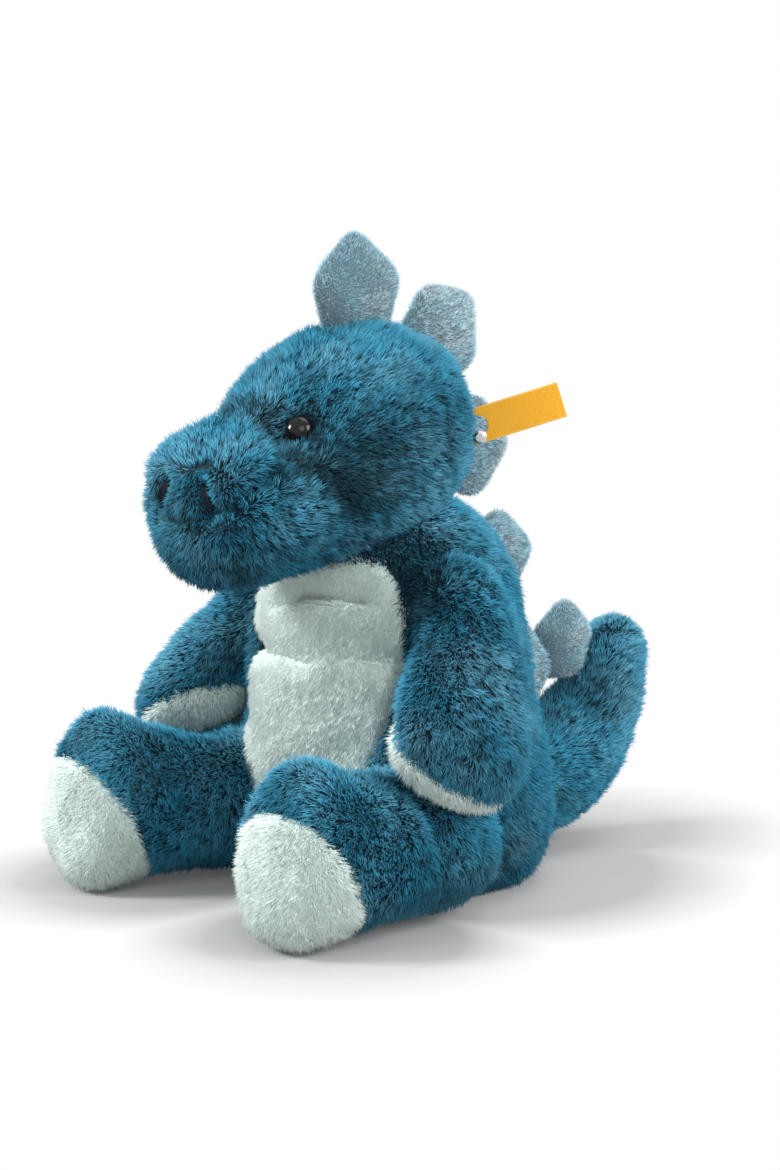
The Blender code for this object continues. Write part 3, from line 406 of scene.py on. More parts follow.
class Form:
    """A round section carried along a smooth path: centre(t) + wide(t) cos(turn) + tall(t)
    sin(turn). The three are cubic B-splines through the form's sections. Beyond each end comes a
    section of no size and the end section turned half round, so that the ends close smoothly."""

    END_SHARE = 0.25

    def __init__(self, centre, wide, tall, broad=0.0):
        ends = [
            centre[k] + unit(centre[k] - centre[n]) * np.linalg.norm(wide[k]) * self.END_SHARE
            for k, n in ((0, 1), (-1, -2))
        ]
        none = np.zeros((1, 3))
        self.centre = np.concatenate([centre[:1], ends[:1], centre, ends[1:], centre[-1:]])
        self.wide = np.concatenate([-wide[:1], none, wide, none, -wide[-1:]])
        self.tall = np.concatenate([-tall[:1], none, tall, none, -tall[-1:]])
        self.broad = broad
        self.end = len(self.centre) - 2.0

    def spline(self, controls, t):
        """(P0 (1-f)^3 + P1 (3f^3-6f^2+4) + P2 (-3f^3+3f^2+3f+1) + P3 f^3) / 6 on each span."""
        span = np.clip(np.floor(t), 1, self.end - 1).astype(int)
        f = (t - span)[..., None]
        weights = ((1 - f) ** 3, 3 * f**3 - 6 * f**2 + 4, -3 * f**3 + 3 * f**2 + 3 * f + 1, f**3)
        return sum(controls[span + k - 1] * weight for k, weight in enumerate(weights)) / 6

    def section(self, t):
        return self.spline(self.centre, t), self.spline(self.wide, t), self.spline(self.tall, t)

    def at(self, t, turn):
        centre, wide, tall = self.section(t)
        spread = np.cos(turn) * (1 + self.broad * np.maximum(0, -np.sin(turn)))
        return centre + wide * spread[..., None] + tall * np.sin(turn)[..., None]

    def even(self, step):
        """Values of t whose sections lie about one step apart on the surface."""
        t = np.linspace(1, self.end, 600)
        turns = np.linspace(0, 2 * math.pi, 9)[:-1]
        places = self.at(t[:, None], turns[None, :] + 0 * t[:, None])
        run = np.linalg.norm(np.diff(places, axis=0), axis=2).max(axis=1)
        length = np.concatenate([[0], np.cumsum(run)])
        return np.interp(np.linspace(0, length[-1], int(length[-1] / step) + 1), length, t)

    def depth(self, points):
        """How far inside the form each point is, in metres: 1 less its distance from the path as a
        share of the section's radius there, times that radius. It is negative outside."""
        t = np.linspace(1.05, self.end - 0.05, 72)
        centre, wide, tall = self.section(t)
        ahead = unit(np.cross(wide, tall))
        deep = np.empty(len(points))
        for begin in range(0, len(points), 20000):
            away = points[begin:begin + 20000, None, :] - centre
            off = np.abs((away * ahead).sum(axis=2))
            nearest = (off + 0.12 * np.linalg.norm(away, axis=2)).argmin(axis=1)
            rows = np.arange(len(away))
            away, off = away[rows, nearest], off[rows, nearest]
            wide_size = np.linalg.norm(wide[nearest], axis=1)
            tall_size = np.linalg.norm(tall[nearest], axis=1)
            x = (away * unit(wide[nearest])).sum(axis=1) / wide_size
            y = (away * unit(tall[nearest])).sum(axis=1) / tall_size
            size = np.minimum(wide_size, tall_size)
            deep[begin:begin + 20000] = np.minimum((1 - np.hypot(x, y)) * size, 0.003 - off)
        return deep


def along_bend(start, bend, end, share):
    """A quadratic curve: start (1-s)^2 + bend 2s(1-s) + end s^2, and its direction."""
    rest = 1 - share
    place = start * rest**2 + bend * 2 * rest * share + end * share**2
    return place, unit((bend - start) * rest + (end - bend) * share)


def limb(points, sections, facing, width, height, broad=0.0):
    """A form along a bend. Its section's height lies as near to facing as its direction lets it."""
    place, heading = along_bend(*points, sections[:, :1])
    across = unit(np.cross(heading, facing))
    rise = np.cross(across, heading)
    wide = across * sections[:, 1:2] * (width / 2)
    return Form(place, wide, rise * sections[:, 2:3] * (height / 2), broad)


def torso_form():
    height, width, depth, along = TORSO_SHARES.T
    none = np.zeros_like(height)
    centre = np.stack([none, TORSO_DEPTH * along, TORSO_HEIGHT * height], axis=1)
    wide = np.stack([TORSO_WIDTH / 2 * width, none, none], axis=1)
    return Form(centre, wide, np.stack([none, TORSO_DEPTH / 2 * depth, none], axis=1))


def head_form():
    along, width, height, lift = HEAD_SHARES.T
    none = np.zeros_like(along)
    centre = np.stack([none, HEAD_BACK - HEAD_LENGTH * along, HEAD_SIZE * lift], axis=1)
    wide = np.stack([-HEAD_SIZE / 2 * width, none, none], axis=1)
    return Form(HEAD_PLACE + centre, wide, np.stack([none, none, HEAD_SIZE / 2 * height], axis=1))


def arm_path(side):
    """Shoulder, elbow and paw end. The right arm hangs a little closer and lower."""
    if side > 0:
        return [SHOULDER, ELBOW, PAW_END]
    return [mirrored(SHOULDER, side), RIGHT_ELBOW, RIGHT_PAW_END]


def arm_form(side):
    return limb(arm_path(side), ARM_SHARES, mirrored(PAD_FACING, side), PAW_WIDTH, ARM_THICKNESS)


def leg_form(side):
    path = [mirrored(point, side) for point in (HIP, KNEE, TOE_END)]
    return limb(path, LEG_SHARES, UP, FOOT_WIDTH, FOOT_HEIGHT, broad=0.10)


def tail_form():
    path = (TAIL_ROOT, TAIL_BEND, TAIL_END)
    return limb(path, TAIL_SHARES, np.array((1.0, 0, 0)), TAIL_THICKNESS, TAIL_THICKNESS)


# Which way the body gives where each limb is sewn in, and how far and from where it swells there
LIMB_WAYS = {
    "arm_left": ((-1, 0, -0.1), 0.0075, 0.021),
    "arm_right": ((1, 0, -0.1), 0.0075, 0.021),
    "leg_left": ((-0.35, 1, 0.1), 0.0060, 0.017),
    "leg_right": ((0.35, 1, 0.1), 0.0060, 0.017),
    "tail": ((0, -1, 0.25), 0.0045, 0.015),
}


def on_head(shares, side=1):
    across, along, lift = shares
    shift = np.array((side * HEAD_SIZE * across, HEAD_BACK - HEAD_LENGTH * along, HEAD_SIZE * lift))
    return HEAD_PLACE + shift


FORMS = {
    "torso": torso_form(),
    "head": head_form(),
    "tail": tail_form(),
    "arm_left": arm_form(1),
    "arm_right": arm_form(-1),
    "leg_left": leg_form(1),
    "leg_right": leg_form(-1),
}


# ---------------------------------------------------------------- fabric

class Fabric:
    """A surface of triangles: points, faces, and each face's corners on the finishes' map."""

    def __init__(self, points, faces, corners):
        self.points, self.faces, self.corners = points, faces, corners
        self.normals = None
        self.face_outward()

    def face_outward(self):
        a, b, c = (self.points[self.faces[:, k]] for k in range(3))
        if np.einsum("ij,ij->", a, np.cross(b, c)) < 0:
            self.faces = self.faces[:, ::-1].copy()
            self.corners = self.corners[:, ::-1].copy()
        self.find_normals()

    def find_normals(self):
        """A point's normal is the sum of its faces' cross products."""
        a, b, c = (self.points[self.faces[:, k]] for k in range(3))
        cross = np.cross(b - a, c - a)
        total = np.zeros_like(self.points)
        for k in range(3):
            for axis in range(3):
                total[:, axis] += np.bincount(
                    self.faces[:, k], weights=cross[:, axis], minlength=len(self.points)
                )
        self.normals = unit(total)

    def move(self, points):
        self.points = points
        self.find_normals()

    def swell(self, amount):
        self.move(self.points + self.normals * amount[:, None])


def woven_grid(rows, columns):
    """The faces of a grid whose columns close round, with one point before and one after it, and
    the corners of those faces on a map that runs from 0 to 1 both ways."""
    i, j = np.meshgrid(np.arange(rows - 1), np.arange(columns), indexing="ij")
    i, j = i.ravel(), j.ravel()
    after = (j + 1) % columns
    a, b = 1 + i * columns + j, 1 + i * columns + after
    c, d = b + columns, a + columns
    low, high = (i + 1) / (rows + 1), (i + 2) / (rows + 1)
    left, right = j / columns, (j + 1) / columns
    faces = [np.stack([a, b, c], 1), np.stack([a, c, d], 1)]
    cell = (left, low), (right, low), (right, high), (left, high)
    cell = [np.stack(place, 1) for place in cell]
    corners = [np.stack([cell[0], cell[k], cell[k + 1]], 1) for k in (1, 2)]
    j = np.arange(columns)
    after = (j + 1) % columns
    left, middle, right = j / columns, (j + 0.5) / columns, (j + 1) / columns
    end = 1 + rows * columns
    first, last = 1 / (rows + 1), rows / (rows + 1)
    for pole, base, near, far in ((0, 1, 0.0, first), (end, end - columns, 1.0, last)):
        ring = [base + j, base + after] if pole else [base + after, base + j]
        edge = [left, right] if pole else [right, left]
        faces.append(np.stack([ring[0], ring[1], np.full(columns, pole)], 1))
        corners.append(
            np.stack(
                [
                    np.stack([edge[0], np.full(columns, far)], 1),
                    np.stack([edge[1], np.full(columns, far)], 1),
                    np.stack([middle, np.full(columns, near)], 1),
                ],
                1,
            )
        )
    return np.concatenate(faces), np.concatenate(corners)


def stuffed(form, step):
    """The form's surface, its flow (the direction of growing t) and each point's t."""
    t = form.even(step)
    centre, *sides = form.section(t)
    wide, tall = (np.linalg.norm(side, axis=1).max() for side in sides)
    turns = max(24, int(math.pi * (wide + tall) / step))
    inner = t[1:-1]
    turn = np.linspace(0, 2 * math.pi, turns, endpoint=False)
    ring = form.at(inner[:, None], turn[None, :] + 0 * inner[:, None]).reshape(-1, 3)
    ends = form.at(t[[0, -1]], np.zeros(2))
    points = np.concatenate([ends[:1], ring, ends[1:]])
    faces, corners = woven_grid(len(inner), turns)
    fabric = Fabric(points, faces, corners)
    heading = unit(np.gradient(centre, axis=0))
    flow = np.concatenate([heading[:1], np.repeat(heading[1:-1], turns, axis=0), heading[-1:]])
    return fabric, flow


def clipped(fabric, planes):
    """The part of a fabric on the facing side of every plane, its edge cut clean."""
    mesh = mesh_of("clipped", fabric)
    cage = bmesh.new()
    cage.from_mesh(mesh)
    for place, facing in planes:
        parts = cage.verts[:] + cage.edges[:] + cage.faces[:]
        bmesh.ops.bisect_plane(cage, geom=parts, plane_co=place, plane_no=facing, clear_inner=True)
    bmesh.ops.triangulate(cage, faces=cage.faces[:])
    cage.to_mesh(mesh)
    cage.free()
    points = np.empty(len(mesh.vertices) * 3)
    mesh.vertices.foreach_get("co", points)
    faces = np.empty(len(mesh.loops), dtype=np.int32)
    mesh.loops.foreach_get("vertex_index", faces)
    corners = np.empty(len(mesh.loops) * 2)
    mesh.uv_layers[0].data.foreach_get("uv", corners)
    bpy.data.meshes.remove(mesh)
    return open_fabric(points.reshape(-1, 3), faces.reshape(-1, 3), corners.reshape(-1, 3, 2))


def open_fabric(points, faces, corners, outward=None):
    """A fabric with an edge, whose faces keep their order, or turn to face outward."""
    fabric = Fabric.__new__(Fabric)
    fabric.points, fabric.faces, fabric.corners = points, faces, corners
    fabric.find_normals()
    if outward is not None and (fabric.normals @ outward).sum() < 0:
        fabric.faces, fabric.corners = faces[:, ::-1].copy(), corners[:, ::-1].copy()
        fabric.find_normals()
    return fabric


def sheet_grid(rows, columns):
    """The faces of an open grid, and their corners on a map from 0 to 1."""
    i, j = np.meshgrid(np.arange(rows - 1), np.arange(columns - 1), indexing="ij")
    i, j = i.ravel(), j.ravel()
    a, b = i * columns + j, i * columns + j + 1
    c, d = b + columns, a + columns
    faces = np.concatenate([np.stack([a, b, c], 1), np.stack([a, c, d], 1)])
    grid = np.stack(np.meshgrid(np.arange(columns), np.arange(rows)), axis=-1).reshape(-1, 2)
    return faces, (grid / np.array((columns - 1, rows - 1)))[faces]


def shell(fabric, outer, inner):
    """A closed sheet: the fabric moved out along its normals by outer, a copy moved by inner, and a
    band of faces between their edges. Returns the sheet and which of its faces are outer ones."""
    count = len(fabric.points)
    outer, inner = (np.broadcast_to(side, count)[:, None] for side in (outer, inner))
    top, low = fabric.points + fabric.normals * outer, fabric.points + fabric.normals * inner
    faces = fabric.faces
    edges = np.concatenate([faces[:, pair] for pair in ((0, 1), (1, 2), (2, 0))])
    ends = np.concatenate([fabric.corners[:, pair] for pair in ((0, 1), (1, 2), (2, 0))])
    alone = ~np.isin(edges[:, 0] * count + edges[:, 1], edges[:, 1] * count + edges[:, 0])
    a, b = edges[alone].T
    place_a, place_b = ends[alone, 0] * 0.98, ends[alone, 1] * 0.98
    shift = np.array((0.02, 0.02))
    band = np.concatenate([np.stack([b, a, a + count], 1), np.stack([b, a + count, b + count], 1)])
    band_map = np.concatenate(
        [
            np.stack([place_b, place_a, place_a + shift], 1),
            np.stack([place_b, place_a + shift, place_b + shift], 1),
        ]
    )
    half = np.array((0.5, 1.0))
    over = np.array((0.5, 0.0))
    back_map = fabric.corners[:, ::-1] * half + over
    closed = open_fabric(
        np.concatenate([top, low]),
        np.concatenate([faces, faces[:, ::-1] + count, band]),
        np.concatenate([fabric.corners * half, back_map, band_map * half + over]),
    )
    outside = np.zeros(len(closed.faces), dtype=bool)
    outside[:len(faces)] = True
    return closed, outside


def mesh_of(name, fabric, marks=None):
    """Puts a fabric into a mesh with its map and its marks, each one number for a point."""
    mesh = bpy.data.meshes.new(name)
    count = len(fabric.faces)
    mesh.vertices.add(len(fabric.points))
    mesh.vertices.foreach_set("co", fabric.points.astype(np.float32).ravel())
    mesh.loops.add(count * 3)
    mesh.loops.foreach_set("vertex_index", fabric.faces.astype(np.int32).ravel())
    mesh.polygons.add(count)
    mesh.polygons.foreach_set("loop_start", np.arange(0, count * 3, 3, dtype=np.int32))
    mesh.polygons.foreach_set("use_smooth", np.ones(count, dtype=bool))
    mesh.update(calc_edges=True)
    layer = mesh.uv_layers.new(name="OFBake")
    layer.data.foreach_set("uv", fabric.corners.astype(np.float32).ravel())
    for mark, values in (marks or {}).items():
        attribute = mesh.attributes.new(mark, "FLOAT", "POINT")
        attribute.data.foreach_set("value", values.astype(np.float32))
    return mesh


# ---------------------------------------------------------------- pile

# The kinds of pile, and the material slot that each has
BLUE, PALE, PLATE, TAPE = "blue_pile", "pale_pile", "plate_pile", "strip_grey"
SLOTS = {BLUE: "blue_plush", PALE: "mint_plush", PLATE: "plate_plush"}
SQUARE_MM = 1e-6
PLATE_DENSITY, PLATE_FULLER, TAPE_DENSITY = 3.4, 0.0005, 3.0
UNRULY = 0.35
PALE_MORE = 1.3

# How pieces meet: room round a limb, clearance of the roots of the pile, how deep in another form
# they may still start, and how high the fabric, a sole and the lowest roots are above the floor.
# Fabric that another piece has moved more than the last three is hidden and has no pile.
LIMB_ROOM, LIMB_STEP, ROOT_CLEAR, ROOT_SUNK = 0.0006, 0.004, 0.0002, 0.0015
HEAD_SUNK, PANEL_HEAD_SUNK = 0.001, 0.002
FABRIC_FLOOR, SOLE_FLOOR, ROOT_FLOOR, FACING_DOWN = 0.0008, 0.0006, 0.0012, -0.7
HIDDEN_MOVE, HIDDEN_SHARE, HIDDEN_DENT = 0.0004, 0.02, 0.0003


def rooted(fabric, flow, each, rng, faces=None):
    """Roots spread evenly over the fabric: each face gets its area's share of them, at random
    places in it. Returns their places, normals and flow."""
    chosen = fabric.faces if faces is None else fabric.faces[faces]
    a, b, c = (fabric.points[chosen[:, k]] for k in range(3))
    area = np.linalg.norm(np.cross(b - a, c - a), axis=1) / 2
    total = np.cumsum(area / each) + rng.random()
    count = np.diff(np.floor(np.concatenate([[0.0], total]))).astype(int)
    rows = np.repeat(np.arange(len(chosen)), count)
    u, v = rng.random(len(rows)), rng.random(len(rows))
    over = u + v > 1
    u, v = np.where(over, 1 - u, u), np.where(over, 1 - v, v)
    share = np.stack([1 - u - v, u, v], axis=1)[:, :, None]
    corner = chosen[rows]
    sources = fabric.points, fabric.normals, flow
    return tuple((values[corner] * share).sum(axis=1) for values in sources)


def kept(pile, keep):
    """The chosen roots, with their normals and flow."""
    return tuple(values[keep] for values in pile)


def spacing(more=1.0):
    """The area of fabric that each tuft has, in square metres."""
    return SQUARE_MM / (settings().pile_density * more)


def flowing(fabric, direction):
    """The same direction for every point of a fabric."""
    return np.broadcast_to(np.array(direction, dtype=float), fabric.points.shape)


def tufts(roots, normals, flow, length, width, lift, lock, pull, unruly, seed):
    """Pointed tufts of three sides. Each starts from a triangle under the fabric and ends in a
    point. It leans along the flow, turned a little by smooth noise, by its lock and by chance, and
    its tip is drawn towards the middle of its lock."""
    rng = np.random.default_rng(seed)
    count = len(roots)
    normals = unit(normals)
    flow = unit(flow - normals * (flow * normals).sum(axis=1, keepdims=True))
    side = np.cross(normals, flow)
    middle, number = nearest_lock(roots, lock, seed)
    calm = min(1.0, unruly / UNRULY)
    turn = calm * (0.75 * ripple(roots, lock * 5, seed + 7) + (number - 0.5) * 0.9)
    turn = turn + unruly * rng.standard_normal(count)
    nap = flow * np.cos(turn)[:, None] + side * np.sin(turn)[:, None]
    rise = lift + calm * (0.22 * ripple(roots, lock * 3.5, seed + 9) + (number - 0.5) * 0.35)
    rise = np.clip(rise + 0.16 * calm * rng.standard_normal(count), 0.12, 1.45)
    heading = nap * np.cos(rise)[:, None] + normals * np.sin(rise)[:, None]
    reach = length * (0.72 + 0.36 * rng.random(count)) * (0.85 + 0.30 * number)
    drawn = middle - roots
    drawn = drawn - normals * (drawn * normals).sum(axis=1, keepdims=True)
    tip = roots + heading * reach[:, None] + drawn * pull
    base = roots - normals * 0.0009
    tip[:, 2] = np.maximum(tip[:, 2], 0.0004)
    axis = unit(tip - base)
    across = unit(np.cross(axis, normals + 1e-4))
    over = np.cross(axis, across)
    radius = (width / 2 * (0.75 + 0.5 * rng.random(count)))[:, None]
    spin = rng.random(count) * 2 * math.pi
    ring = []
    for k in range(3):
        angle = (spin + 2 * math.pi * k / 3)[:, None]
        ring.append(base + radius * (across * np.cos(angle) + over * np.sin(angle)))
    points = np.stack([*ring, tip], axis=1)
    near = np.array([(0, 2, 1), (0, 1, 3), (1, 2, 3), (2, 0, 3)])
    faces = (near[None] + 4 * np.arange(count)[:, None, None]).reshape(-1, 3)
    tip_mark = np.tile((0.0, 0.0, 0.0, 1.0), count)
    tone = np.clip(0.5 * number + 0.5 * rng.random(count), 0, 1)
    return points.reshape(-1, 3), faces, tuft_map(count), tip_mark, tone


def tuft_map(count):
    """Each tuft's four faces laid out in a cell of its own, in rows above the fabric's part of the
    map: its three sides stand side by side, and its root lies upside down between two of them."""
    third = 1 / 3
    cell = [((third, 0.10), (0.5 * third + 0.06, 0.97), (1.5 * third - 0.06, 0.97))]
    for left in (0, 1, 2):
        foot = (left * third, 0.03), ((left + 1) * third, 0.03)
        cell.append((*foot, ((left + 0.5) * third, 0.97)))
    cell = np.array(cell)
    columns = max(1, int(math.ceil(math.sqrt(count / 0.7))))
    rows = max(1, int(math.ceil(count / columns)))
    number = np.arange(count)
    across, up = (number % columns) / columns, 0.27 + 0.72 * (number // columns) / rows
    origin = np.stack([across, up], axis=1)
    size = np.array((0.96 / columns, 0.70 / rows))
    return (origin[:, None, None, :] + cell[None] * size).reshape(-1, 3, 2)


def pile_look(kind):
    """How the tufts of a kind of pile stand: length, width, lift from the fabric in radians, size
    of their locks, and how much their tips are drawn together and turned by chance."""
    own = settings()
    values = {
        BLUE: (own.pile_length, own.pile_width, 0.52, own.lock_size, 0.36, UNRULY),
        PALE: (own.belly_pile_length, own.pile_width * 0.85, 0.75, own.lock_size, 0.30, UNRULY),
        PLATE: (own.plate_pile_length, 0.00052, 0.70, 0.0024, 0.22, 0.45),
        TAPE: (0.0006, 0.00035, 1.2, 0.0010, 0.1, 0.9),
    }[kind]
    return dict(zip(("length", "width", "lift", "lock", "pull", "unruly"), values))


def furry(name, fabric, pile, seed, look, painted_shade=0.0):
    """The mesh of a fabric and the pile on it. Painted shade darkens the pile's tone where shade
    falls: in creases, hollows and under other parts.
    """
    points, faces, corners, tip, tone = tufts(*pile, seed=seed, **look)
    count = len(fabric.points)
    whole = open_fabric(
        np.concatenate([fabric.points, points]),
        np.concatenate([fabric.faces, faces + count]),
        np.concatenate([fabric.corners * np.array((1.0, 0.25)), corners]),
    )
    # The tone mark: each tuft's random tone less its painted shade
    marks = {
        "tip": np.concatenate([np.zeros(count), tip]),
        "tone": np.concatenate([np.full(count, 0.2), np.repeat(tone - painted_shade, 4)]),
    }
    return mesh_of(name, whole, marks)


def place_piece(name, mesh, material, body, slot, replaced=(), fill=None):
    """Puts a finished mesh in the scene as a piece that rides on a body."""
    thing = bpy.data.objects.new(name, mesh)
    bpy.context.scene.collection.objects.link(thing)
    mesh.materials.append(material)
    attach(thing, body)
    if replaced:
        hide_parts(*replaced)
    return thing


def pushed_out(points, centre, radius):
    """Points inside a ball move straight out from its centre to its surface."""
    away = points - centre
    far = np.linalg.norm(away, axis=1, keepdims=True)
    return np.where(far < radius, centre + away / np.maximum(far, 1e-9) * radius, points)


def limbs_hollow(points):
    """Points inside a limb's form, or nearer to it than its room, move along its inward direction
    until they are outside."""
    for name, (inward, _, _) in LIMB_WAYS.items():
        inward = unit(np.array(inward))
        for _ in range(6):
            deep = FORMS[name].depth(points) + LIMB_ROOM
            points = points + inward * np.clip(deep, 0, LIMB_STEP)[:, None]
    return points


def rounded_under(points, height=0.032, share=0.11):
    """The body draws in towards the floor by share (1 - z/height)^2 of its width."""
    drawn = points.copy()
    low = np.clip(1 - points[:, 2] / height, 0, 1.3)
    drawn[:, :2] *= (1 - share * low**2)[:, None]
    return drawn


def above_floor(points, lowest=FABRIC_FLOOR):
    """Points below a level rise to it, so that the form rests flat."""
    risen = points.copy()
    risen[:, 2] = np.maximum(risen[:, 2], lowest)
    return risen


def torso_section(z):
    """The torso's centre along Y, half width and half depth at a height."""
    form = FORMS["torso"]
    t = np.linspace(1, form.end, 800)
    centre, wide, tall = form.section(np.interp(z, form.section(t)[0][:, 2], t))
    return centre[..., 1], np.linalg.norm(wide, axis=-1), np.linalg.norm(tall, axis=-1)


def torso_front(x, z):
    """The torso's point at a width and height: y = centre - depth sqrt(1 - (x/width)^2)."""
    centre, half, depth = torso_section(z)
    y = centre - depth * np.sqrt(np.maximum(1 - (x / half) ** 2, 1e-4))
    return np.stack([x, y, z], axis=-1)


def torso_outside(points):
    """(x/width)^2 + ((y-centre)/depth)^2 - 1 with the section at the point's height."""
    centre, half, depth = torso_section(points[..., 2])
    return (points[..., 0] / half) ** 2 + ((points[..., 1] - centre) / depth) ** 2 - 1


def torso_relief(points):
    """Lumps of the stuffing, the belly's folds, and the body's swelling towards each limb by
    full (1 - distance/reach)^2, as a height along the normal."""
    relief = lumps(points, 21, *BODY_LUMPS)
    relief = relief - np.where(points[:, 1] < 0, creased(points, BELLY_CREASES), 0)
    for name, (_, full, reach) in LIMB_WAYS.items():
        near = np.clip(1 + FORMS[name].depth(points) / reach, 0, 1)
        relief += full * near**2
    return relief


def shape_body(fabric, drawn=None):
    """Gives a fabric of the body its relief, the head's hollow and the fold under the chin."""
    fabric.swell(torso_relief(fabric.points))
    points = fabric.points if drawn is None else drawn(fabric.points)
    fabric.move(pushed_out(points, NECK, NECK_RADIUS))
    fabric.swell(-CHIN_FOLD_DEPTH * fold_over(fabric.points))


def inside_box(x, y, half_x, low, high):
    """How far places lie inside a box, measured to its nearest side."""
    return np.minimum(half_x - np.abs(x), np.minimum(y - low, high - y))


def flap_axes():
    """The flap's place and its own directions: across, up and outward."""
    turned = np.array((-math.sin(FLAP_TURN), math.cos(FLAP_TURN), 0.0))
    reach = math.hypot(2 * turned[0] / TORSO_WIDTH, 2 * turned[1] / TORSO_DEPTH)
    place = turned * (FLAP_OUT_SHARE / reach)
    place[2] = FLAP_HEIGHT_PLACE
    outward = unit(turned * math.cos(FLAP_LEAN) + UP * math.sin(FLAP_LEAN))
    across = unit(np.cross(UP, outward))
    return place, across, np.cross(outward, across), outward


def flap_local(points):
    place, across, rise, outward = flap_axes()
    away = points - place
    return np.stack([away @ across, away @ rise, away @ outward], axis=1)


def panel_half(z, x):
    """Half the belly panel's width at a height, on the side that x is on."""
    share = (z - PANEL_BOTTOM) / (PANEL_TOP - PANEL_BOTTOM)
    left, right = (np.interp(share, PANEL_SHARES[:, 0], PANEL_SHARES[:, k]) for k in (1, 2))
    return PANEL_WIDTH * np.where(x > 0, left, right)


def fold_over(points):
    """The fold under the chin, as a share: above its line the fabric sinks at once, and comes back
    as exp(-(height/0.011)^2)."""
    line = np.array(CHIN_FOLD)
    x, z = points[:, 0], points[:, 2]
    above = z - np.interp(x, line[:, 0], line[:, 2])
    ends = ease((x - line[0, 0] + 0.012) / 0.014) * ease((line[-1, 0] + 0.010 - x) / 0.012)
    sunk = ease(above / 0.0024 + 0.5) * bell(np.maximum(above, 0), 0.011)
    return ends * sunk * (points[:, 1] < 0)


def eye_place(side=1):
    """The eye's washer pulls it into the head, and the fabric with it."""
    return on_head(EYE_SHARES, side) - mirrored(unit(EYE_FACING), side) * EYE_PULL


def nostril_line():
    """The two ends of the left nostril."""
    half = NOSTRIL_LENGTH / 2
    lean = np.array((-math.sin(NOSTRIL_LEAN), 0, math.cos(NOSTRIL_LEAN))) * half
    middle = on_head(NOSTRIL_SHARES)
    return np.array((middle + lean, middle, middle - lean))


def clear_of(points, names, margin=ROOT_CLEAR):
    """Which points lie outside the named forms by at least a margin."""
    clear = np.ones(len(points), dtype=bool)
    for name in names:
        clear &= FORMS[name].depth(points) < -margin
    return clear


# ---------------------------------------------------------------- finishes

class Wire:
    """One output in a material's nodes, so that a formula can be written as an expression."""

    def __init__(self, tree, socket):
        self.tree, self.socket = tree, socket

    def make(self, kind, values=(), out=0, **choices):
        """Any other node: its type, its settings, which are set first, and the values or wires of
        its inputs by name or number."""
        node = self.tree.nodes.new(kind)
        for choice, value in choices.items():
            setattr(node, choice, value)
        for place, value in dict(values).items():
            put(self.tree, node.inputs[place], value)
        return Wire(self.tree, node.outputs[out])

    def maths(self, operation, first, second=0.0):
        return self.make("ShaderNodeMath", {0: first, 1: second}, operation=operation)

    def __add__(self, other):
        return self.maths("ADD", self, other)

    def __sub__(self, other):
        return self.maths("SUBTRACT", self, other)

    def __mul__(self, other):
        return self.maths("MULTIPLY", self, other)

    def __truediv__(self, other):
        return self.maths("DIVIDE", self, other)

    def __rsub__(self, other):
        return self.maths("SUBTRACT", other, self)

    def __rtruediv__(self, other):
        return self.maths("DIVIDE", other, self)

    def __neg__(self):
        return self.maths("SUBTRACT", 0.0, self)

    __radd__ = __add__
    __rmul__ = __mul__

    def clamped(self):
        return self.make("ShaderNodeClamp", {0: self})

    def step(self, low, high):
        """0 below low and 1 above high."""
        return self.make("ShaderNodeMapRange", {0: self, 1: low, 2: high})

    def mix(self, first, second):
        """A colour between two, by this share."""
        values = {0: self, 6: first, 7: second}
        return self.make("ShaderNodeMix", values, 2, data_type="RGBA")

    def sine(self):
        return self.maths("SINE", self)


def put(tree, socket, value):
    if isinstance(value, Wire):
        tree.links.new(value.socket, socket)
    elif hasattr(value, "__len__") and len(value) == 3 and socket.type == "RGBA":
        socket.default_value = (*value, 1)
    else:
        socket.default_value = value


class Finish:
    """A material whose shader takes fixed numbers on its own sockets, and wires where they vary."""

    def __init__(self, name, **fixed):
        self.material = bpy.data.materials.new(name)
        self.material.use_nodes = True
        self.tree = self.material.node_tree
        self.shader = self.tree.nodes["Principled BSDF"]
        self.start = Wire(self.tree, self.shader.outputs[0])
        self.set(**fixed)

    def set(self, **values):
        for name, value in values.items():
            put(self.tree, self.shader.inputs[name.replace("_", " ")], value)

    def place(self):
        return self.start.make("ShaderNodeTexCoord", out=3)

    def map(self):
        return self.start.make("ShaderNodeUVMap", uv_map="OFBake")

    def noise(self, scale, detail=2.0, place=None, rough=0.5):
        values = {0: place or self.place(), 2: scale, 3: detail, 4: rough}
        return self.start.make("ShaderNodeTexNoise", values)

    def mark(self, name):
        return self.start.make("ShaderNodeAttribute", out=2, attribute_name=name)

    def parts(self, vector):
        node = self.start.make("ShaderNodeSeparateXYZ", {0: vector}).socket.node
        return tuple(Wire(self.tree, node.outputs[k]) for k in range(3))

    def bump(self, height, strength, distance=0.001):
        values = {0: strength, 1: distance, "Height": height}
        self.set(Normal=self.start.make("ShaderNodeBump", values))


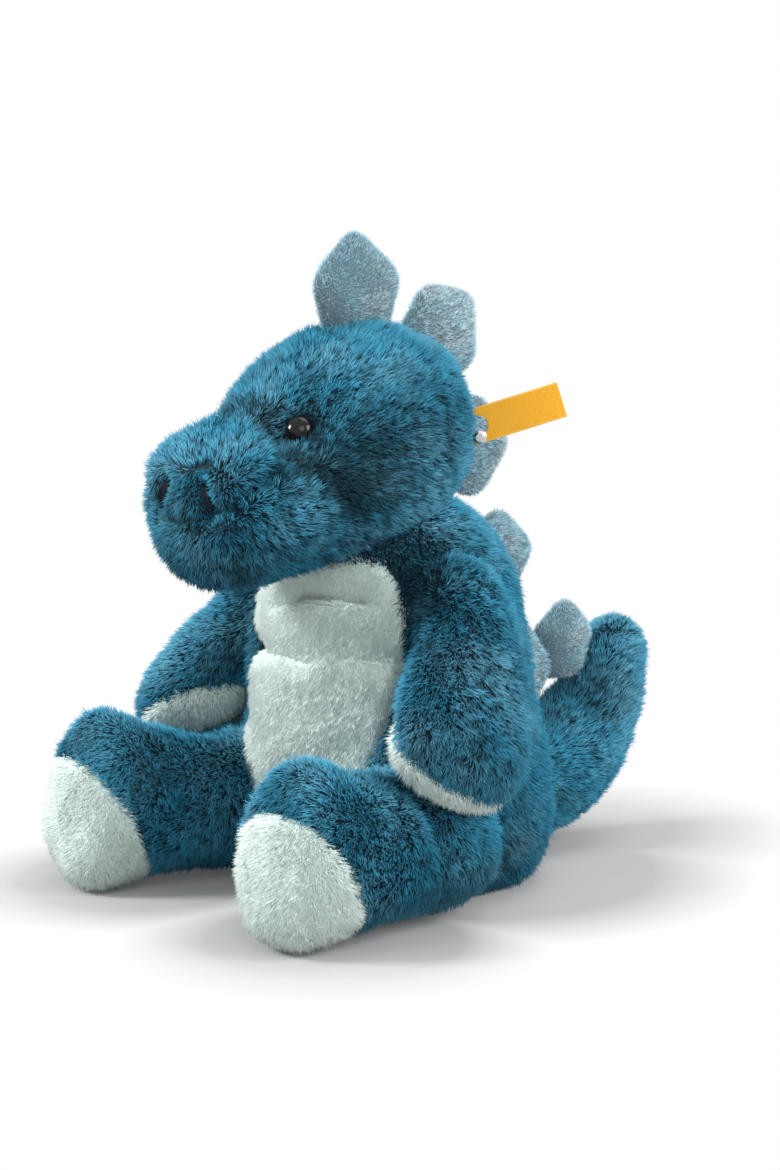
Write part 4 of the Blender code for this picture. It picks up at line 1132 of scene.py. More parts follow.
def pile_finish(name, tip, root, middle, painted_sheen, depth=0.55, dull=0.30, spread=0.95, patches=34.0,
                shade=0.0):
    """Pile that is dark at its roots, in part a painted shade among the tufts, and light at its
    tips, with paler tufts among it, and slow patches of painted sheen and of painted shade where
    the pile lies another way. The tone mark darkens each tuft by its painted shade."""
    tip = tuple(tip)
    root, middle = tinted(tip, root), tinted(tip, middle)
    finish = Finish(name, Roughness=0.7)
    finish.set(Specular_IOR_Level=0.25, Sheen_Weight=0.12, Sheen_Roughness=0.5)
    finish.set(Sheen_Tint=tip, Specular_Tint=tuple(0.7 + 0.3 * channel for channel in tip))
    along, tone = finish.mark("tip"), finish.mark("tone")
    # Dark roots stand in part for painted shade among the tufts
    low = along.step(0.10, 0.50).mix(root, middle)
    pile = along.step(0.45, 0.95).mix(low, tip)
    # Painted sheen: in slow patches the tips turn towards a lighter colour
    patch = finish.noise(patches, 3.0).step(0.44, 0.70)
    pile = (patch * along * depth).mix(pile, painted_sheen)
    # Painted shade in slow patches, as deep as the shade argument
    painted_shade_patch = finish.noise(27.0, 2.0).step(0.50, 0.66)
    # The tone mark brings each tuft's random tone less its painted shade
    dim = finish.start.maths("MAXIMUM", (tone * spread + dull).clamped(), 0.15)
    dim = dim * (1 - painted_shade_patch * shade)
    shade = finish.start.make("ShaderNodeCombineColor", {0: dim, 1: dim, 2: dim})
    values = {0: 1.0, 6: pile, 7: shade}
    colour = finish.start.make("ShaderNodeMix", values, 2, data_type="RGBA", blend_type="MULTIPLY")
    finish.set(Base_Color=colour, Roughness=0.80 - 0.22 * tone.clamped())
    return finish.material


def tinted(colour, factor):
    return tuple(float(channel) * factor for channel in colour)


def blue_pile():
    # (0.30, 0.64, 0.78) is the painted sheen colour; shade sets the painted shade patches
    return pile_finish(BLUE, settings().blue, 0.06, 0.42, (0.30, 0.64, 0.78), shade=0.36)


def pale_pile():
    # (0.94, 0.99, 0.98) is the painted sheen colour
    return pile_finish(PALE, settings().mint, 0.86, 0.99, (0.94, 0.99, 0.98), 0.3, 0.93, 0.22)


def plate_pile():
    # Painted sheen colour of the plates' pile
    painted_sheen = (0.86, 0.94, 0.97)
    return pile_finish(PLATE, settings().plate, 0.34, 0.70, painted_sheen, 0.9, 0.40, 0.75, 60.0)


def moulded_finish(name, colour, roughness, grain=900.0, strength=0.06, **fixed):
    """Moulded plastic: fine grain, and slow patches of polish and tone."""
    finish = Finish(name, **fixed)
    slow, fine = finish.noise(30.0, 2.0), finish.noise(grain, 2.0)
    shade = (slow.step(0.35, 0.70) * 0.7).mix(colour, tinted(colour, 0.90))
    finish.set(Base_Color=shade, Roughness=slow * 0.12 + (roughness - 0.06))
    finish.bump(fine, strength, 0.0003)
    return finish.material


def brushed_finish(name, colour, roughness):
    """Metal with fine scratches along Z."""
    finish = Finish(name, Metallic=1.0)
    stretch = finish.start.make("ShaderNodeMapping", {0: finish.place(), 3: (1.0, 1.0, 0.08)})
    scratch = finish.noise(1600.0, 2.0, stretch)
    finish.set(
        Base_Color=scratch.step(0.3, 0.7).mix(tinted(colour, 0.82), colour),
        Roughness=scratch * 0.18 + (roughness - 0.09),
    )
    finish.bump(scratch, 0.08, 0.0002)
    return finish.material


def board_finish():
    """Circuit board: solder mask with tracks, and a fine weave."""
    finish = Finish("board_green", Coat_Weight=0.3)
    x, _, z = finish.parts(finish.place())
    track = ((x * 2600.0).sine() * (z * 2100.0 + (x * 900.0).sine()).sine()).step(0.15, 0.25)
    weave = (x * 9000.0).sine() * (z * 9000.0).sine()
    finish.set(
        Base_Color=track.mix((0.02, 0.16, 0.06), (0.05, 0.26, 0.10)), Roughness=0.42 - 0.1 * track
    )
    finish.bump(track * 0.6 + weave * 0.1, 0.2, 0.0002)
    return finish.material


def cell_finish():
    """Shrink wrap with a plain band near one end."""
    finish = Finish("cell_wrap", Coat_Weight=0.4)
    slow = finish.noise(60.0, 2.0)
    height = finish.parts(finish.place())[2]
    band = (height * 1000.0).step(103.0, 103.3)
    finish.set(
        Base_Color=band.mix((0.10, 0.11, 0.13), (0.45, 0.46, 0.47)), Roughness=slow * 0.2 + 0.22
    )
    finish.bump(slow, 0.08, 0.0004)
    return finish.material


def thread_finish():
    """Embroidery thread: twisted strands that catch a little light, their colour a little lighter
    along each twist, a painted highlight.
    """
    finish = Finish("thread_black", Specular_IOR_Level=0.12)
    u, v, _ = finish.parts(finish.map())
    twist = (u * 60.0 + v * 240.0).sine()
    finish.set(
        Base_Color=twist.step(-0.6, 0.9).mix((0.001, 0.003, 0.006), (0.006, 0.014, 0.024)),
        Roughness=0.62 - 0.12 * twist,
    )
    finish.bump(twist, 0.35, 0.0003)
    return finish.material


def ribbon_finish():
    """Woven ribbon: ribs across it, fine warp threads along it, and a bound edge on each side."""
    finish = Finish("ribbon_yellow", Sheen_Weight=0.2, Specular_IOR_Level=0.35)
    u, v, _ = finish.parts(finish.start.make("ShaderNodeUVMap", uv_map="weave"))
    ribs, warp = (v * 420.0).sine(), (u * 190.0).sine()
    edge = finish.start.maths("ABSOLUTE", u - 0.5).step(0.445, 0.46)
    colour = tuple(settings().ribbon)
    weave = (ribs * 0.5 + warp * 0.5 + 0.5).clamped().mix(tinted(colour, 0.80), colour)
    finish.set(
        Base_Color=(edge * 0.8).mix(weave, (0.93, 0.52, 0.07)),
        Roughness=0.62 - 0.1 * ribs + finish.noise(120.0) * 0.08,
    )
    finish.bump(ribs * 0.6 + warp * 0.4, 0.35, 0.0003)
    return finish.material


def eye_finish():
    """Black glass-like plastic, with the faintest haze of handling."""
    finish = Finish("eye_black", Specular_IOR_Level=0.27)
    haze = finish.noise(240.0, 3.0)
    finish.set(
        Base_Color=haze.step(0.3, 0.8).mix((0.004, 0.004, 0.005), (0.009, 0.009, 0.011)),
        Roughness=haze * 0.05 + 0.04,
    )
    return finish.material


def strip_finish():
    """Hook and loop tape: rows of tiny hooks."""
    finish = Finish("strip_grey", Sheen_Weight=0.3)
    x, y, z = finish.parts(finish.place())
    rows = (z * 5200.0).sine() * ((x - y) * 3600.0).sine()
    finish.set(
        Base_Color=rows.step(-0.4, 0.9).mix((0.05, 0.08, 0.12), (0.13, 0.20, 0.27)),
        Roughness=0.85 - 0.1 * rows,
    )
    finish.bump(rows, 0.6, 0.0006)
    return finish.material


def lens_finish():
    """Milky plastic that passes light."""
    finish = Finish("milky_plastic", Subsurface_Weight=0.35, Subsurface_Scale=0.004)
    slow = finish.noise(90.0, 2.0)
    finish.set(
        Base_Color=slow.step(0.3, 0.7).mix((0.90, 0.89, 0.85), (0.94, 0.93, 0.90)),
        Roughness=slow * 0.1 + 0.28,
    )
    finish.bump(finish.noise(1200.0), 0.03, 0.0002)
    return finish.material


# ---------------------------------------------------------------- pieces

PILE_FINISHES = {BLUE: blue_pile, PALE: pale_pile, PLATE: plate_pile}


class DinosaurOperator:
    """What the piece operators share."""

    bl_options = {"REGISTER", "UNDO"}

    def plush(self, node, body, fabric, pile, seed, fill, kind=BLUE, name=None, painted_shade=0.0,
              **changes):
        """Puts a sewn piece in the scene: its fabric with its kind of pile, some of whose values
        are changed. The finish of each kind is made once."""
        name = name or node + "_fur"
        mesh = furry(name, fabric, pile, seed, {**pile_look(kind), **changes}, painted_shade)
        material = bpy.data.materials.get(kind) or PILE_FINISHES[kind]()
        place_piece(name, mesh, material, body, SLOTS[kind], (node,), fill)


def dress_head():
    """The head's fabric, the way its pile lies, and which of its points the neck hides."""
    fabric, flow = stuffed(FORMS["head"], settings().skin_step)
    folded = both_sides(fabric.points)
    relief = lumps(fabric.points, 11, *HEAD_LUMPS)
    dimple = dip(line_distance(folded, nostril_line()), NOSTRIL_DIMPLE)
    socket = dip(distances(folded, on_head(EYE_SHARES)), EYE_SOCKET)
    swells = sum(
        height * bell(distances(folded, place), reach) for height, reach, place in HEAD_SWELLS
    )
    fabric.swell(relief + swells - socket - creased(folded, HEAD_CREASES) - dimple)
    before = fabric.points
    fabric.move(pushed_out(before, NECK, NECK_RADIUS + SOCKET))
    hidden = np.linalg.norm(fabric.points - before, axis=1) > HIDDEN_MOVE
    return fabric, -flow - 0.45 * UP, hidden


def visible_faces(fabric, hidden):
    """The faces that have no hidden point."""
    return ~hidden[fabric.faces].any(axis=1)


class MakeHead(DinosaurOperator, bpy.types.Operator):
    """Head in blue pile, with eye sockets, dimples for the nostrils and the seams' creases"""

    bl_idname = "plush_dinosaur.head"
    bl_label = "Head"

    def execute(self, context):
        fabric, flow, hidden = dress_head()
        rng = np.random.default_rng(101)
        pile = rooted(fabric, flow, spacing(), rng, visible_faces(fabric, hidden))
        near = both_sides(pile[0])
        eye, slit = distances(near, eye_place()), line_distance(near, nostril_line())
        keep = (eye > EYE_RADIUS + EYE_ROOM) & (slit > NOSTRIL_ROOM)
        *pile, near, eye, slit = kept((*pile, near, eye, slit), keep)
        fold = np.clip(creased(near, HEAD_CREASES) / 0.004, 0, 1)
        muzzle = ease((-near[:, 1] - 0.070) / 0.030)
        length = settings().pile_length * (0.62 + 0.38 * ease((eye - 0.006) / 0.010))
        length = length * (0.42 + 0.58 * ease((slit - 0.0015) / 0.009))
        length = length * (1 - 0.18 * muzzle) * (1 - 0.05 * fold)
        # Painted shade: darker pile in the creases, round the nostrils and the eyes, on the cheek
        # and under the muzzle
        under = ease((0.172 - near[:, 2]) / 0.030) * ease((-near[:, 1] - 0.010) / 0.030)
        painted_shade = 0.55 * fold + 1.1 * bell(slit, 0.0036)
        painted_shade = painted_shade + 0.7 * bell(eye - 0.005, 0.0035)
        painted_shade = painted_shade + 0.72 * bell(distances(near, CHEEK), 0.030) + 0.36 * under
        self.plush("head", "head", fabric, pile, 110, 0.7, painted_shade=painted_shade, length=length, lift=0.62)
        return {"FINISHED"}


def painted_shade_under_chin(roots):
    """Painted shade on pile under the head, which presses it down: 0.85 exp(-(distance/0.026)^2).
    """
    return 0.85 * bell(distances(both_sides(roots), UNDER_CHIN), 0.026)


def off_floor(pile):
    """Which roots neither lie on the floor nor face it from just above."""
    roots, normals, _ = pile
    return (roots[:, 2] > ROOT_FLOOR) | (normals[:, 2] > FACING_DOWN)


class MakeTorso(DinosaurOperator, bpy.types.Operator):
    """Body in blue pile, with sockets for the limbs, recesses for the panel and the flap, and the
    pocket of the battery box"""

    bl_idname = "plush_dinosaur.torso"
    bl_label = "Torso"

    def execute(self, context):
        fabric, _ = stuffed(FORMS["torso"], settings().skin_step * 0.85)
        shape_body(fabric, rounded_under)
        points, outward = fabric.points, flap_axes()[3]
        x, z = points[:, 0], points[:, 2]
        edge = inside_box(x, z, panel_half(z, x), PANEL_BOTTOM, PANEL_TOP + PANEL_TUCK)
        panel = np.where(points[:, 1] < 0, ease(edge / PANEL_RAMP + 0.5), 0)
        points = points - fabric.normals * (panel * PANEL_SINK)[:, None]
        across, rise, level = flap_local(points).T
        near = level > -FLAP_REACH
        edge = inside_box(across, rise, FLAP_WIDTH / 2, -FLAP_HEIGHT / 2, FLAP_HEIGHT / 2)
        flap = np.where(near, ease((edge + FLAP_ROOM) / FLAP_RAMP), 0)
        points = points - outward * (flap * FLAP_SINK)[:, None]
        half, low, high, floor = battery_room()
        box = ease((inside_box(across, rise, half, low, high) + BOX_EDGE) / FLAP_RAMP)
        box = np.where(near, box, 0)
        points = points + outward * (box * (floor - flap_local(points)[:, 2]))[:, None]
        hidden = np.max([panel, flap, box], axis=0) > HIDDEN_SHARE
        fabric.move(above_floor(limbs_hollow(points)))
        rng = np.random.default_rng(201)
        down = flowing(fabric, (0, 0, -1))
        pile = rooted(fabric, down, spacing(), rng, visible_faces(fabric, hidden))
        keep = clear_of(pile[0], LIMB_WAYS) & (FORMS["head"].depth(pile[0]) < HEAD_SUNK)
        pile = kept(pile, keep & off_floor(pile))
        # Painted shade on the torso's pile under the head
        self.plush("torso", "torso", fabric, pile, 210, 0.75, painted_shade=painted_shade_under_chin(pile[0]))
        return {"FINISHED"}


def battery_room():
    """The pocket's half width, its lowest and highest place up the flap, and its floor, measured
    from the battery box and its cover as they are."""
    points = []
    for name in ("battery_box", "battery_cover"):
        mesh = frame["nodes"][name].data
        found = np.empty(len(mesh.vertices) * 3)
        mesh.vertices.foreach_get("co", found)
        points.append(found.reshape(-1, 3))
    local = flap_local(np.concatenate(points))
    low, high = local.min(axis=0), local.max(axis=0)
    return high[0] + BOX_ROOM, low[1] - BOX_ROOM, high[1] + BOX_ROOM, low[2] - BOX_ROOM


class MakeBellyPanel(DinosaurOperator, bpy.types.Operator):
    """Pale panel let into the front of the body, a closed padded sheet with rolled edges"""

    bl_idname = "plush_dinosaur.belly_panel"
    bl_label = "Belly panel"

    def execute(self, context):
        rows, columns = 84, 66
        top = PANEL_TOP + PANEL_TUCK
        z = np.linspace(PANEL_BOTTOM, top, rows)[:, None]
        share = np.linspace(-1, 1, columns)[None, :]
        x = share * (panel_half(z, share) - PANEL_GAP)
        base = torso_front(x, z + 0 * x).reshape(-1, 3)
        fabric = open_fabric(base, *sheet_grid(rows, columns), np.array((0, -1.0, 0)))
        shape_body(fabric)
        edge = (1 - np.abs(share)) * panel_half(z, share)
        edge = np.minimum(edge, np.minimum(z - PANEL_BOTTOM, top - z))
        roll = 1 - ease((edge + 0 * x).ravel() / PANEL_ROLL)
        closed, outside = shell(fabric, PANEL_PROUD - PANEL_ROUND * roll**2, -PANEL_DEPTH)
        closed.move(limbs_hollow(closed.points))
        rng = np.random.default_rng(301)
        pile = rooted(closed, flowing(closed, (0, 0, -1)), spacing(PALE_MORE), rng, outside)
        free = FORMS["head"].depth(pile[0]) < PANEL_HEAD_SUNK
        pile = kept(pile, clear_of(pile[0], LIMB_WAYS) & free)
        fold = np.clip(creased(pile[0], BELLY_CREASES) / 0.004, 0, 1)
        own = settings()
        # Painted shade in the belly's folds and under the fold below the chin
        self.plush(
            "belly_panel", "torso", closed, pile, 310, 0.5, PALE, "belly_fur",
            painted_shade=0.40 * fold + 0.34 * fold_over(pile[0]), lift=0.50, pull=0.22, unruly=0.15,
            length=own.belly_pile_length * (1 - 0.3 * fold), width=own.pile_width * 0.8,
            lock=own.lock_size * 1.2,
        )
        return {"FINISHED"}


def pad_planes(side):
    """The plane that parts the pad from the paw, and the one across the wrist."""
    facing = unit(mirrored(PAD_FACING, side))
    path = arm_path(side)
    place = along_bend(*path, PAD_SHARE)[0] + facing * (ARM_THICKNESS / 2 - PAD_DEPTH)
    wrist, heading = along_bend(*path, WRIST_SHARE)
    return (place, facing), (wrist, heading)


def beyond(points, planes):
    """How far each point is past every plane."""
    return np.min([(points - place) @ facing for place, facing in planes], axis=0)


def capped(fabric, planes):
    """Lays a closed sheet over the part of a fabric beyond the planes, which sinks under it. The
    sheet stands proud by CAP_COVER, and rolls down to the fabric along its seam. Returns the sheet,
    its outer faces, and the fabric's faces that it leaves in sight."""
    patch = clipped(fabric, planes)
    roll = 1 - ease(beyond(patch.points, planes) / CAP_ROLL)
    outer = CAP_COVER - (CAP_COVER + CAP_THICKNESS * 0.7) * roll**2
    cap, outside = shell(patch, outer, CAP_COVER - CAP_THICKNESS)
    dent = CAP_THICKNESS * ease(beyond(fabric.points, planes) / CAP_RAMP + 0.5)
    fabric.swell(-dent)
    return cap, outside, visible_faces(fabric, dent > HIDDEN_DENT)


class MakeArms(DinosaurOperator, bpy.types.Operator):
    """Arms in blue pile with pale pads under the paws"""

    bl_idname = "plush_dinosaur.arms"
    bl_label = "Arms"

    def execute(self, context):
        for seed, name, side in ((400, "left", 1), (420, "right", -1)):
            arm = "arm_" + name
            fabric, flow = stuffed(FORMS[arm], settings().skin_step)
            fabric.swell(lumps(fabric.points, seed, *ARM_LUMPS))
            planes = pad_planes(side)
            pad, outside, sighted = capped(fabric, planes)
            rng = np.random.default_rng(seed)
            pile = rooted(fabric, flow, spacing(), rng, sighted)
            pile = kept(pile, FORMS["torso"].depth(pile[0]) < ROOT_SUNK)
            # Painted shade on the arm's pile under the head
            self.plush(arm, arm, fabric, pile, seed + 2, 0.65, painted_shade=painted_shade_under_chin(pile[0]))
            pile = rooted(pad, flowing(pad, planes[1][1]), spacing(PALE_MORE), rng, outside)
            length = settings().belly_pile_length * 1.2
            self.plush("paw_pad_" + name, arm, pad, pile, seed + 5, 0.5, PALE, length=length)
        return {"FINISHED"}


class MakeLegs(DinosaurOperator, bpy.types.Operator):
    """Legs in blue pile with pale soles, flat where they rest on the floor"""

    bl_idname = "plush_dinosaur.legs"
    bl_label = "Legs"

    def execute(self, context):
        for seed, name, side in ((500, "left", 1), (520, "right", -1)):
            leg = "leg_" + name
            fabric, flow = stuffed(FORMS[leg], settings().skin_step)
            relief = lumps(fabric.points, seed, *LEG_LUMPS)
            fabric.swell(relief - creased(both_sides(fabric.points), LEG_CREASES))
            facing = unit(mirrored(SOLE_FACING, side))
            planes = ((mirrored(TOE_END, side) - facing * SOLE_SET_BACK, facing),)
            sole, outside, sighted = capped(fabric, planes)
            fabric.move(above_floor(fabric.points))
            sole.move(above_floor(sole.points, SOLE_FLOOR))
            rng = np.random.default_rng(seed)
            onward = ease((distances(fabric.points, mirrored(HIP, side)) - 0.030) / 0.060)[:, None]
            flow = flow * (0.35 + 0.65 * onward) - UP * (1.0 - 0.7 * onward)
            pile = rooted(fabric, flow, spacing(), rng, sighted)
            pile = kept(pile, (FORMS["torso"].depth(pile[0]) < ROOT_SUNK) & off_floor(pile))
            self.plush(leg, leg, fabric, pile, seed + 2, 0.7)
            down = flowing(sole, (0, 0.2, -1))
            pile = rooted(sole, down, spacing(PALE_MORE), rng, outside)
            pile = kept(pile, pile[0][:, 2] > ROOT_FLOOR)
            self.plush("sole_" + name, leg, sole, pile, seed + 5, 0.5, PALE)
        return {"FINISHED"}


class MakeTail(DinosaurOperator, bpy.types.Operator):
    """Tail in blue pile, curled up behind"""

    bl_idname = "plush_dinosaur.tail"
    bl_label = "Tail"

    def execute(self, context):
        fabric, flow = stuffed(FORMS["tail"], settings().skin_step)
        relief = lumps(fabric.points, 61, *TAIL_LUMPS)
        fabric.swell(relief + dip(distances(fabric.points[:, 1:], TAIL_INNER), TAIL_FULLER))
        fabric.move(above_floor(fabric.points))
        rng = np.random.default_rng(601)
        pile = rooted(fabric, flow - 0.3 * UP, spacing(), rng)
        roots, normals, nap = kept(pile, FORMS["torso"].depth(pile[0]) < ROOT_SUNK)
        tip_near = ease(1 - (distances(roots, TAIL_END) - 0.008) / 0.016)
        nap = nap * (1 - 0.8 * tip_near)[:, None] - UP * (0.8 * tip_near)[:, None]
        # Painted shade on the tail's pile under the tail plate
        self.plush(
            "tail", "tail", fabric, (roots, normals, nap), 610, 0.7,
            painted_shade=0.55 * bell(distances(roots[:, 1:], UNDER_TAIL_PLATE), 0.015),
            length=settings().pile_length * (1 - 0.35 * tip_near), lift=0.54 + 0.6 * tip_near,
        )
        return {"FINISHED"}


def soft_outline(corners, share, steps):
    """A closed outline through the corners, each rounded by a quadratic curve that begins this
    share of a side away."""
    before = corners + (np.roll(corners, 1, axis=0) - corners) * share
    after = corners + (np.roll(corners, -1, axis=0) - corners) * share
    s = np.linspace(0, 1, steps)[None, :, None]
    curve = before[:, None] * (1 - s) ** 2 + corners[:, None] * 2 * s * (1 - s)
    curve = curve + after[:, None] * s**2
    return curve.reshape(-1, 2)


def resampled(outline, count):
    """The outline with points an equal distance apart."""
    loop = np.concatenate([outline, outline[:1]])
    run = np.concatenate([[0], np.cumsum(np.linalg.norm(np.diff(loop, axis=0), axis=1))])
    at = np.linspace(0, run[-1], count, endpoint=False)
    return np.stack([np.interp(at, run, loop[:, k]) for k in range(2)], axis=1)


class MakePlates(DinosaurOperator, bpy.types.Operator):
    """Back plates: stuffed leaves with a seam round the edge and short pile"""

    bl_idname = "plush_dinosaur.plates"
    bl_label = "Back plates"

    def execute(self, context):
        for index, (name, root, lean, size, body) in enumerate(PLATES):
            self.make(index, name, root, math.radians(lean), size, body)
        return {"FINISHED"}

    def make(self, index, name, root, lean, size, body):
        """Each point of the leaf is the outline drawn towards its middle by rho, raised to each
        side by thickness/2 (1-rho^2.6)^0.6, less dimples of slow noise."""
        corners = PLATE_SHARES * np.array((PLATE_LENGTH, PLATE_HEIGHT)) * size
        turns, rings = 96, 15
        outline = resampled(soft_outline(corners, 0.27, 10), turns)
        middle = np.array((0, PLATE_HEIGHT * size * 0.47))
        rho = np.sin(np.linspace(0, math.pi / 2, rings + 1)[1:])
        flat = middle + (outline - middle)[None] * rho[:, None, None]
        rise = PLATE_THICKNESS / 2 * (1 - rho**2.6) ** 0.6 + PLATE_FULLER
        rise = np.broadcast_to(rise[:, None, None], (rings, turns, 1))
        side_a = np.concatenate([flat, rise], axis=2)
        side_b = side_a[-2::-1] * np.array((1, 1, -1.0))
        ring = np.concatenate([side_a, side_b]).reshape(-1, 3)
        top = PLATE_THICKNESS / 2 + PLATE_FULLER
        local = np.concatenate([[(*middle, top)], ring, [(*middle, -top)]])
        along = np.array((0, math.cos(lean), -math.sin(lean)))
        up = np.array((0, math.sin(lean), math.cos(lean)))
        bend = 0.0016 * np.sin(local[:, 1] / PLATE_HEIGHT * 2.2 + index)
        place = np.array((0, *root))
        points = place + local[:, :1] * along + local[:, 1:2] * up
        points = points + (local[:, 2] + bend)[:, None] * np.array((1.0, 0, 0))
        faces, corner_map = woven_grid(len(ring) // turns, turns)
        fabric = Fabric(points, faces, corner_map)
        inner = np.minimum(1, np.abs(local[:, 2]) / 0.003)
        fabric.swell(inner * (0.0007 * ripple(points, 0.012, 700 + index) - 0.0002))
        rng = np.random.default_rng(700 + index)
        pile = rooted(fabric, flowing(fabric, up), SQUARE_MM / PLATE_DENSITY, rng)
        keep = clear_of(pile[0], (body,))
        if body == "torso":
            keep &= distances(pile[0], NECK) > NECK_RADIUS + 0.0005
        pile = kept(pile, keep)
        # Painted shade: darker towards the plate's root and in slow patches
        high = ((pile[0] - place) @ up) / (PLATE_HEIGHT * size)
        painted_shade = 0.34 * (1 - high) + 0.16 * ripple(pile[0], 0.011, 760 + index)
        self.plush(name, body, fabric, pile, 720 + index, 0.4, PLATE, painted_shade=painted_shade)


def turned_surface(profile, place, outward, steps=48):
    """A profile of radius and height turned about an axis: place + outward h + r (cos, sin)."""
    outward = unit(outward)
    across = unit(np.cross(UP, outward))
    rise = np.cross(outward, across)
    turn = np.linspace(0, 2 * math.pi, steps, endpoint=False)[None, :, None]
    radius, height = np.asarray(profile[1:-1]).T
    ring = place + outward * height[:, None, None]
    ring = ring + radius[:, None, None] * (across * np.cos(turn) + rise * np.sin(turn))
    ends = [place + outward * profile[k][1] for k in (0, -1)]
    points = np.concatenate([[ends[0]], ring.reshape(-1, 3), [ends[1]]])
    faces, corners = woven_grid(len(radius), steps)
    return Fabric(points, faces, corners)


class MakeEyes(DinosaurOperator, bpy.types.Operator):
    """Domed black eyes on their stems"""

    bl_idname = "plush_dinosaur.eyes"
    bl_label = "Eyes"

    def execute(self, context):
        turn = np.linspace(math.pi / 2, 0, 14)
        dome = np.stack([EYE_RADIUS * np.cos(turn), EYE_HEIGHT * np.sin(turn)], axis=1)
        dome[0, 0] = 0
        foot = [(EYE_RADIUS - 0.0003, -0.0002), (STEM_RADIUS, -0.0002), (STEM_RADIUS, -STEM_LENGTH)]
        profile = np.concatenate([dome, foot, [(0, -STEM_LENGTH)]])
        material = eye_finish()
        for name, side in (("left", 1), ("right", -1)):
            fabric = turned_surface(profile, eye_place(side), mirrored(EYE_FACING, side))
            eye = "eye_" + name
            piece = mesh_of(eye + "_dome", fabric)
            place_piece(eye + "_dome", piece, material, "head", "eye_black", (eye,))
        return {"FINISHED"}


def tube(path, radius, sides=8):
    """A closed tube: path(s) + radius (cos, sin) across it, with a point at each end."""
    heading = unit(np.gradient(path, axis=0))
    across = unit(np.cross(heading, np.array((0.31, 0.87, 0.12))))
    rise = np.cross(heading, across)
    turn = np.linspace(0, 2 * math.pi, sides, endpoint=False)[None, :, None]
    size = np.asarray(radius).reshape(-1, 1, 1)
    ring = path[:, None] + size * (across[:, None] * np.cos(turn) + rise[:, None] * np.sin(turn))
    ends = path[0] - heading[0] * size[0, 0], path[-1] + heading[-1] * size[-1, 0]
    points = np.concatenate([[ends[0]], ring.reshape(-1, 3), [ends[1]]])
    faces, corners = woven_grid(len(path), sides)
    return Fabric(points, faces, corners)


def joined(fabrics):
    """Several closed fabrics as one, each with its own row of the map."""
    points, faces, corners, count = [], [], [], 0
    for row, fabric in enumerate(fabrics):
        points.append(fabric.points)
        faces.append(fabric.faces + count)
        corners.append((fabric.corners * 0.96 + np.array((0.0, row))) / np.array((1, len(fabrics))))
        count += len(fabric.points)
    return open_fabric(np.concatenate(points), np.concatenate(faces), np.concatenate(corners))


class MakeNostrils(DinosaurOperator, bpy.types.Operator):
    """Nostrils: each a row of stitches of dark thread laid side by side in its dimple"""

    bl_idname = "plush_dinosaur.nostrils"
    bl_label = "Nostrils"

    def execute(self, context):
        material = thread_finish()
        s = np.linspace(-1, 1, 15)
        for name, side in (("left", 1), ("right", -1)):
            ends = nostril_line()
            half = (ends[0] - ends[2]) / 2
            threads = []
            for row in range(7):
                off = (row - 3) * 0.00058
                arch = 0.0012 * (1 - s**2) - 0.0024 + 0.0003 * abs(row - 3)
                run = 1 - 0.08 * abs(row - 3)
                path = ends[1] + half * (s * run)[:, None]
                path = path + np.array((off, 0, 0.0)) + np.outer(arch, (0, -1.0, 0))
                threads.append(tube(mirrored(path, side), np.full(len(s), 0.00050)))
            node = "nostril_" + name
            mesh = mesh_of(node + "_thread", joined(threads))
            place_piece(node + "_thread", mesh, material, "head", "thread_black", (node,))
        return {"FINISHED"}


class MakeRibbon(DinosaurOperator, bpy.types.Operator):
    """Blank woven ribbon with a forked root, curling a little"""

    bl_idname = "plush_dinosaur.ribbon"
    bl_label = "Ribbon"

    def execute(self, context):
        outward = unit(TAG_FACING)
        along = outward * math.cos(TAG_TILT) + UP * math.sin(TAG_TILT)
        normal = np.array((outward[1], -outward[0], 0))
        across = np.cross(normal, along)
        rows, columns = 61, 27
        run = np.linspace(0, 1, rows)[:, None] + np.zeros((1, columns))
        share = np.linspace(-1, 1, columns)[None, :] + np.zeros((rows, 1))
        x = run * TAG_LENGTH
        # Two prongs at the root, with an arch between them: half width b sqrt(1 - (x/a)^2)
        arch = TAG_ARCH_HALF * np.sqrt(np.clip(1 - (x / TAG_ARCH_LENGTH) ** 2, 0, 1))
        y = np.sign(share) * (arch + np.abs(share) * (TAG_WIDTH / 2 - arch))
        curl = 0.0012 * np.sin(run * 2.6) + 0.0005 * share**2 * run
        place = on_head(TAG_SHARES)
        points = (place + x[..., None] * along + y[..., None] * across + curl[..., None] * normal)
        points = points.reshape(-1, 3)
        faces, corners = sheet_grid(rows, columns)
        centre = (columns - 1) // 2
        first = faces[:, 0] // columns
        slit = (first < int(rows * TAG_ARCH_LENGTH / TAG_LENGTH)) & (
            (faces % columns == centre).any(axis=1)
        )
        sheet = open_fabric(points, faces[~slit], corners[~slit], normal)
        used = np.unique(sheet.faces)
        renumber = np.full(len(points), -1)
        renumber[used] = np.arange(len(used))
        sheet = open_fabric(sheet.points[used], renumber[sheet.faces], sheet.corners)
        closed, _ = shell(sheet, TAG_THICKNESS / 2, -TAG_THICKNESS / 2)
        mesh = mesh_of("tag_ribbon_cloth", closed)
        layer = mesh.uv_layers.new(name="weave")
        flat = np.concatenate([sheet.corners, sheet.corners[:, ::-1]])
        band = np.full((len(closed.faces) - len(flat), 3, 2), 0.5)
        layer.data.foreach_set("uv", np.concatenate([flat, band]).astype(np.float32).ravel())
        names = "tag", "ribbon_yellow", ("tag_ribbon",)
        piece = place_piece("tag_ribbon_cloth", mesh, ribbon_finish(), *names)
        return {"FINISHED"}


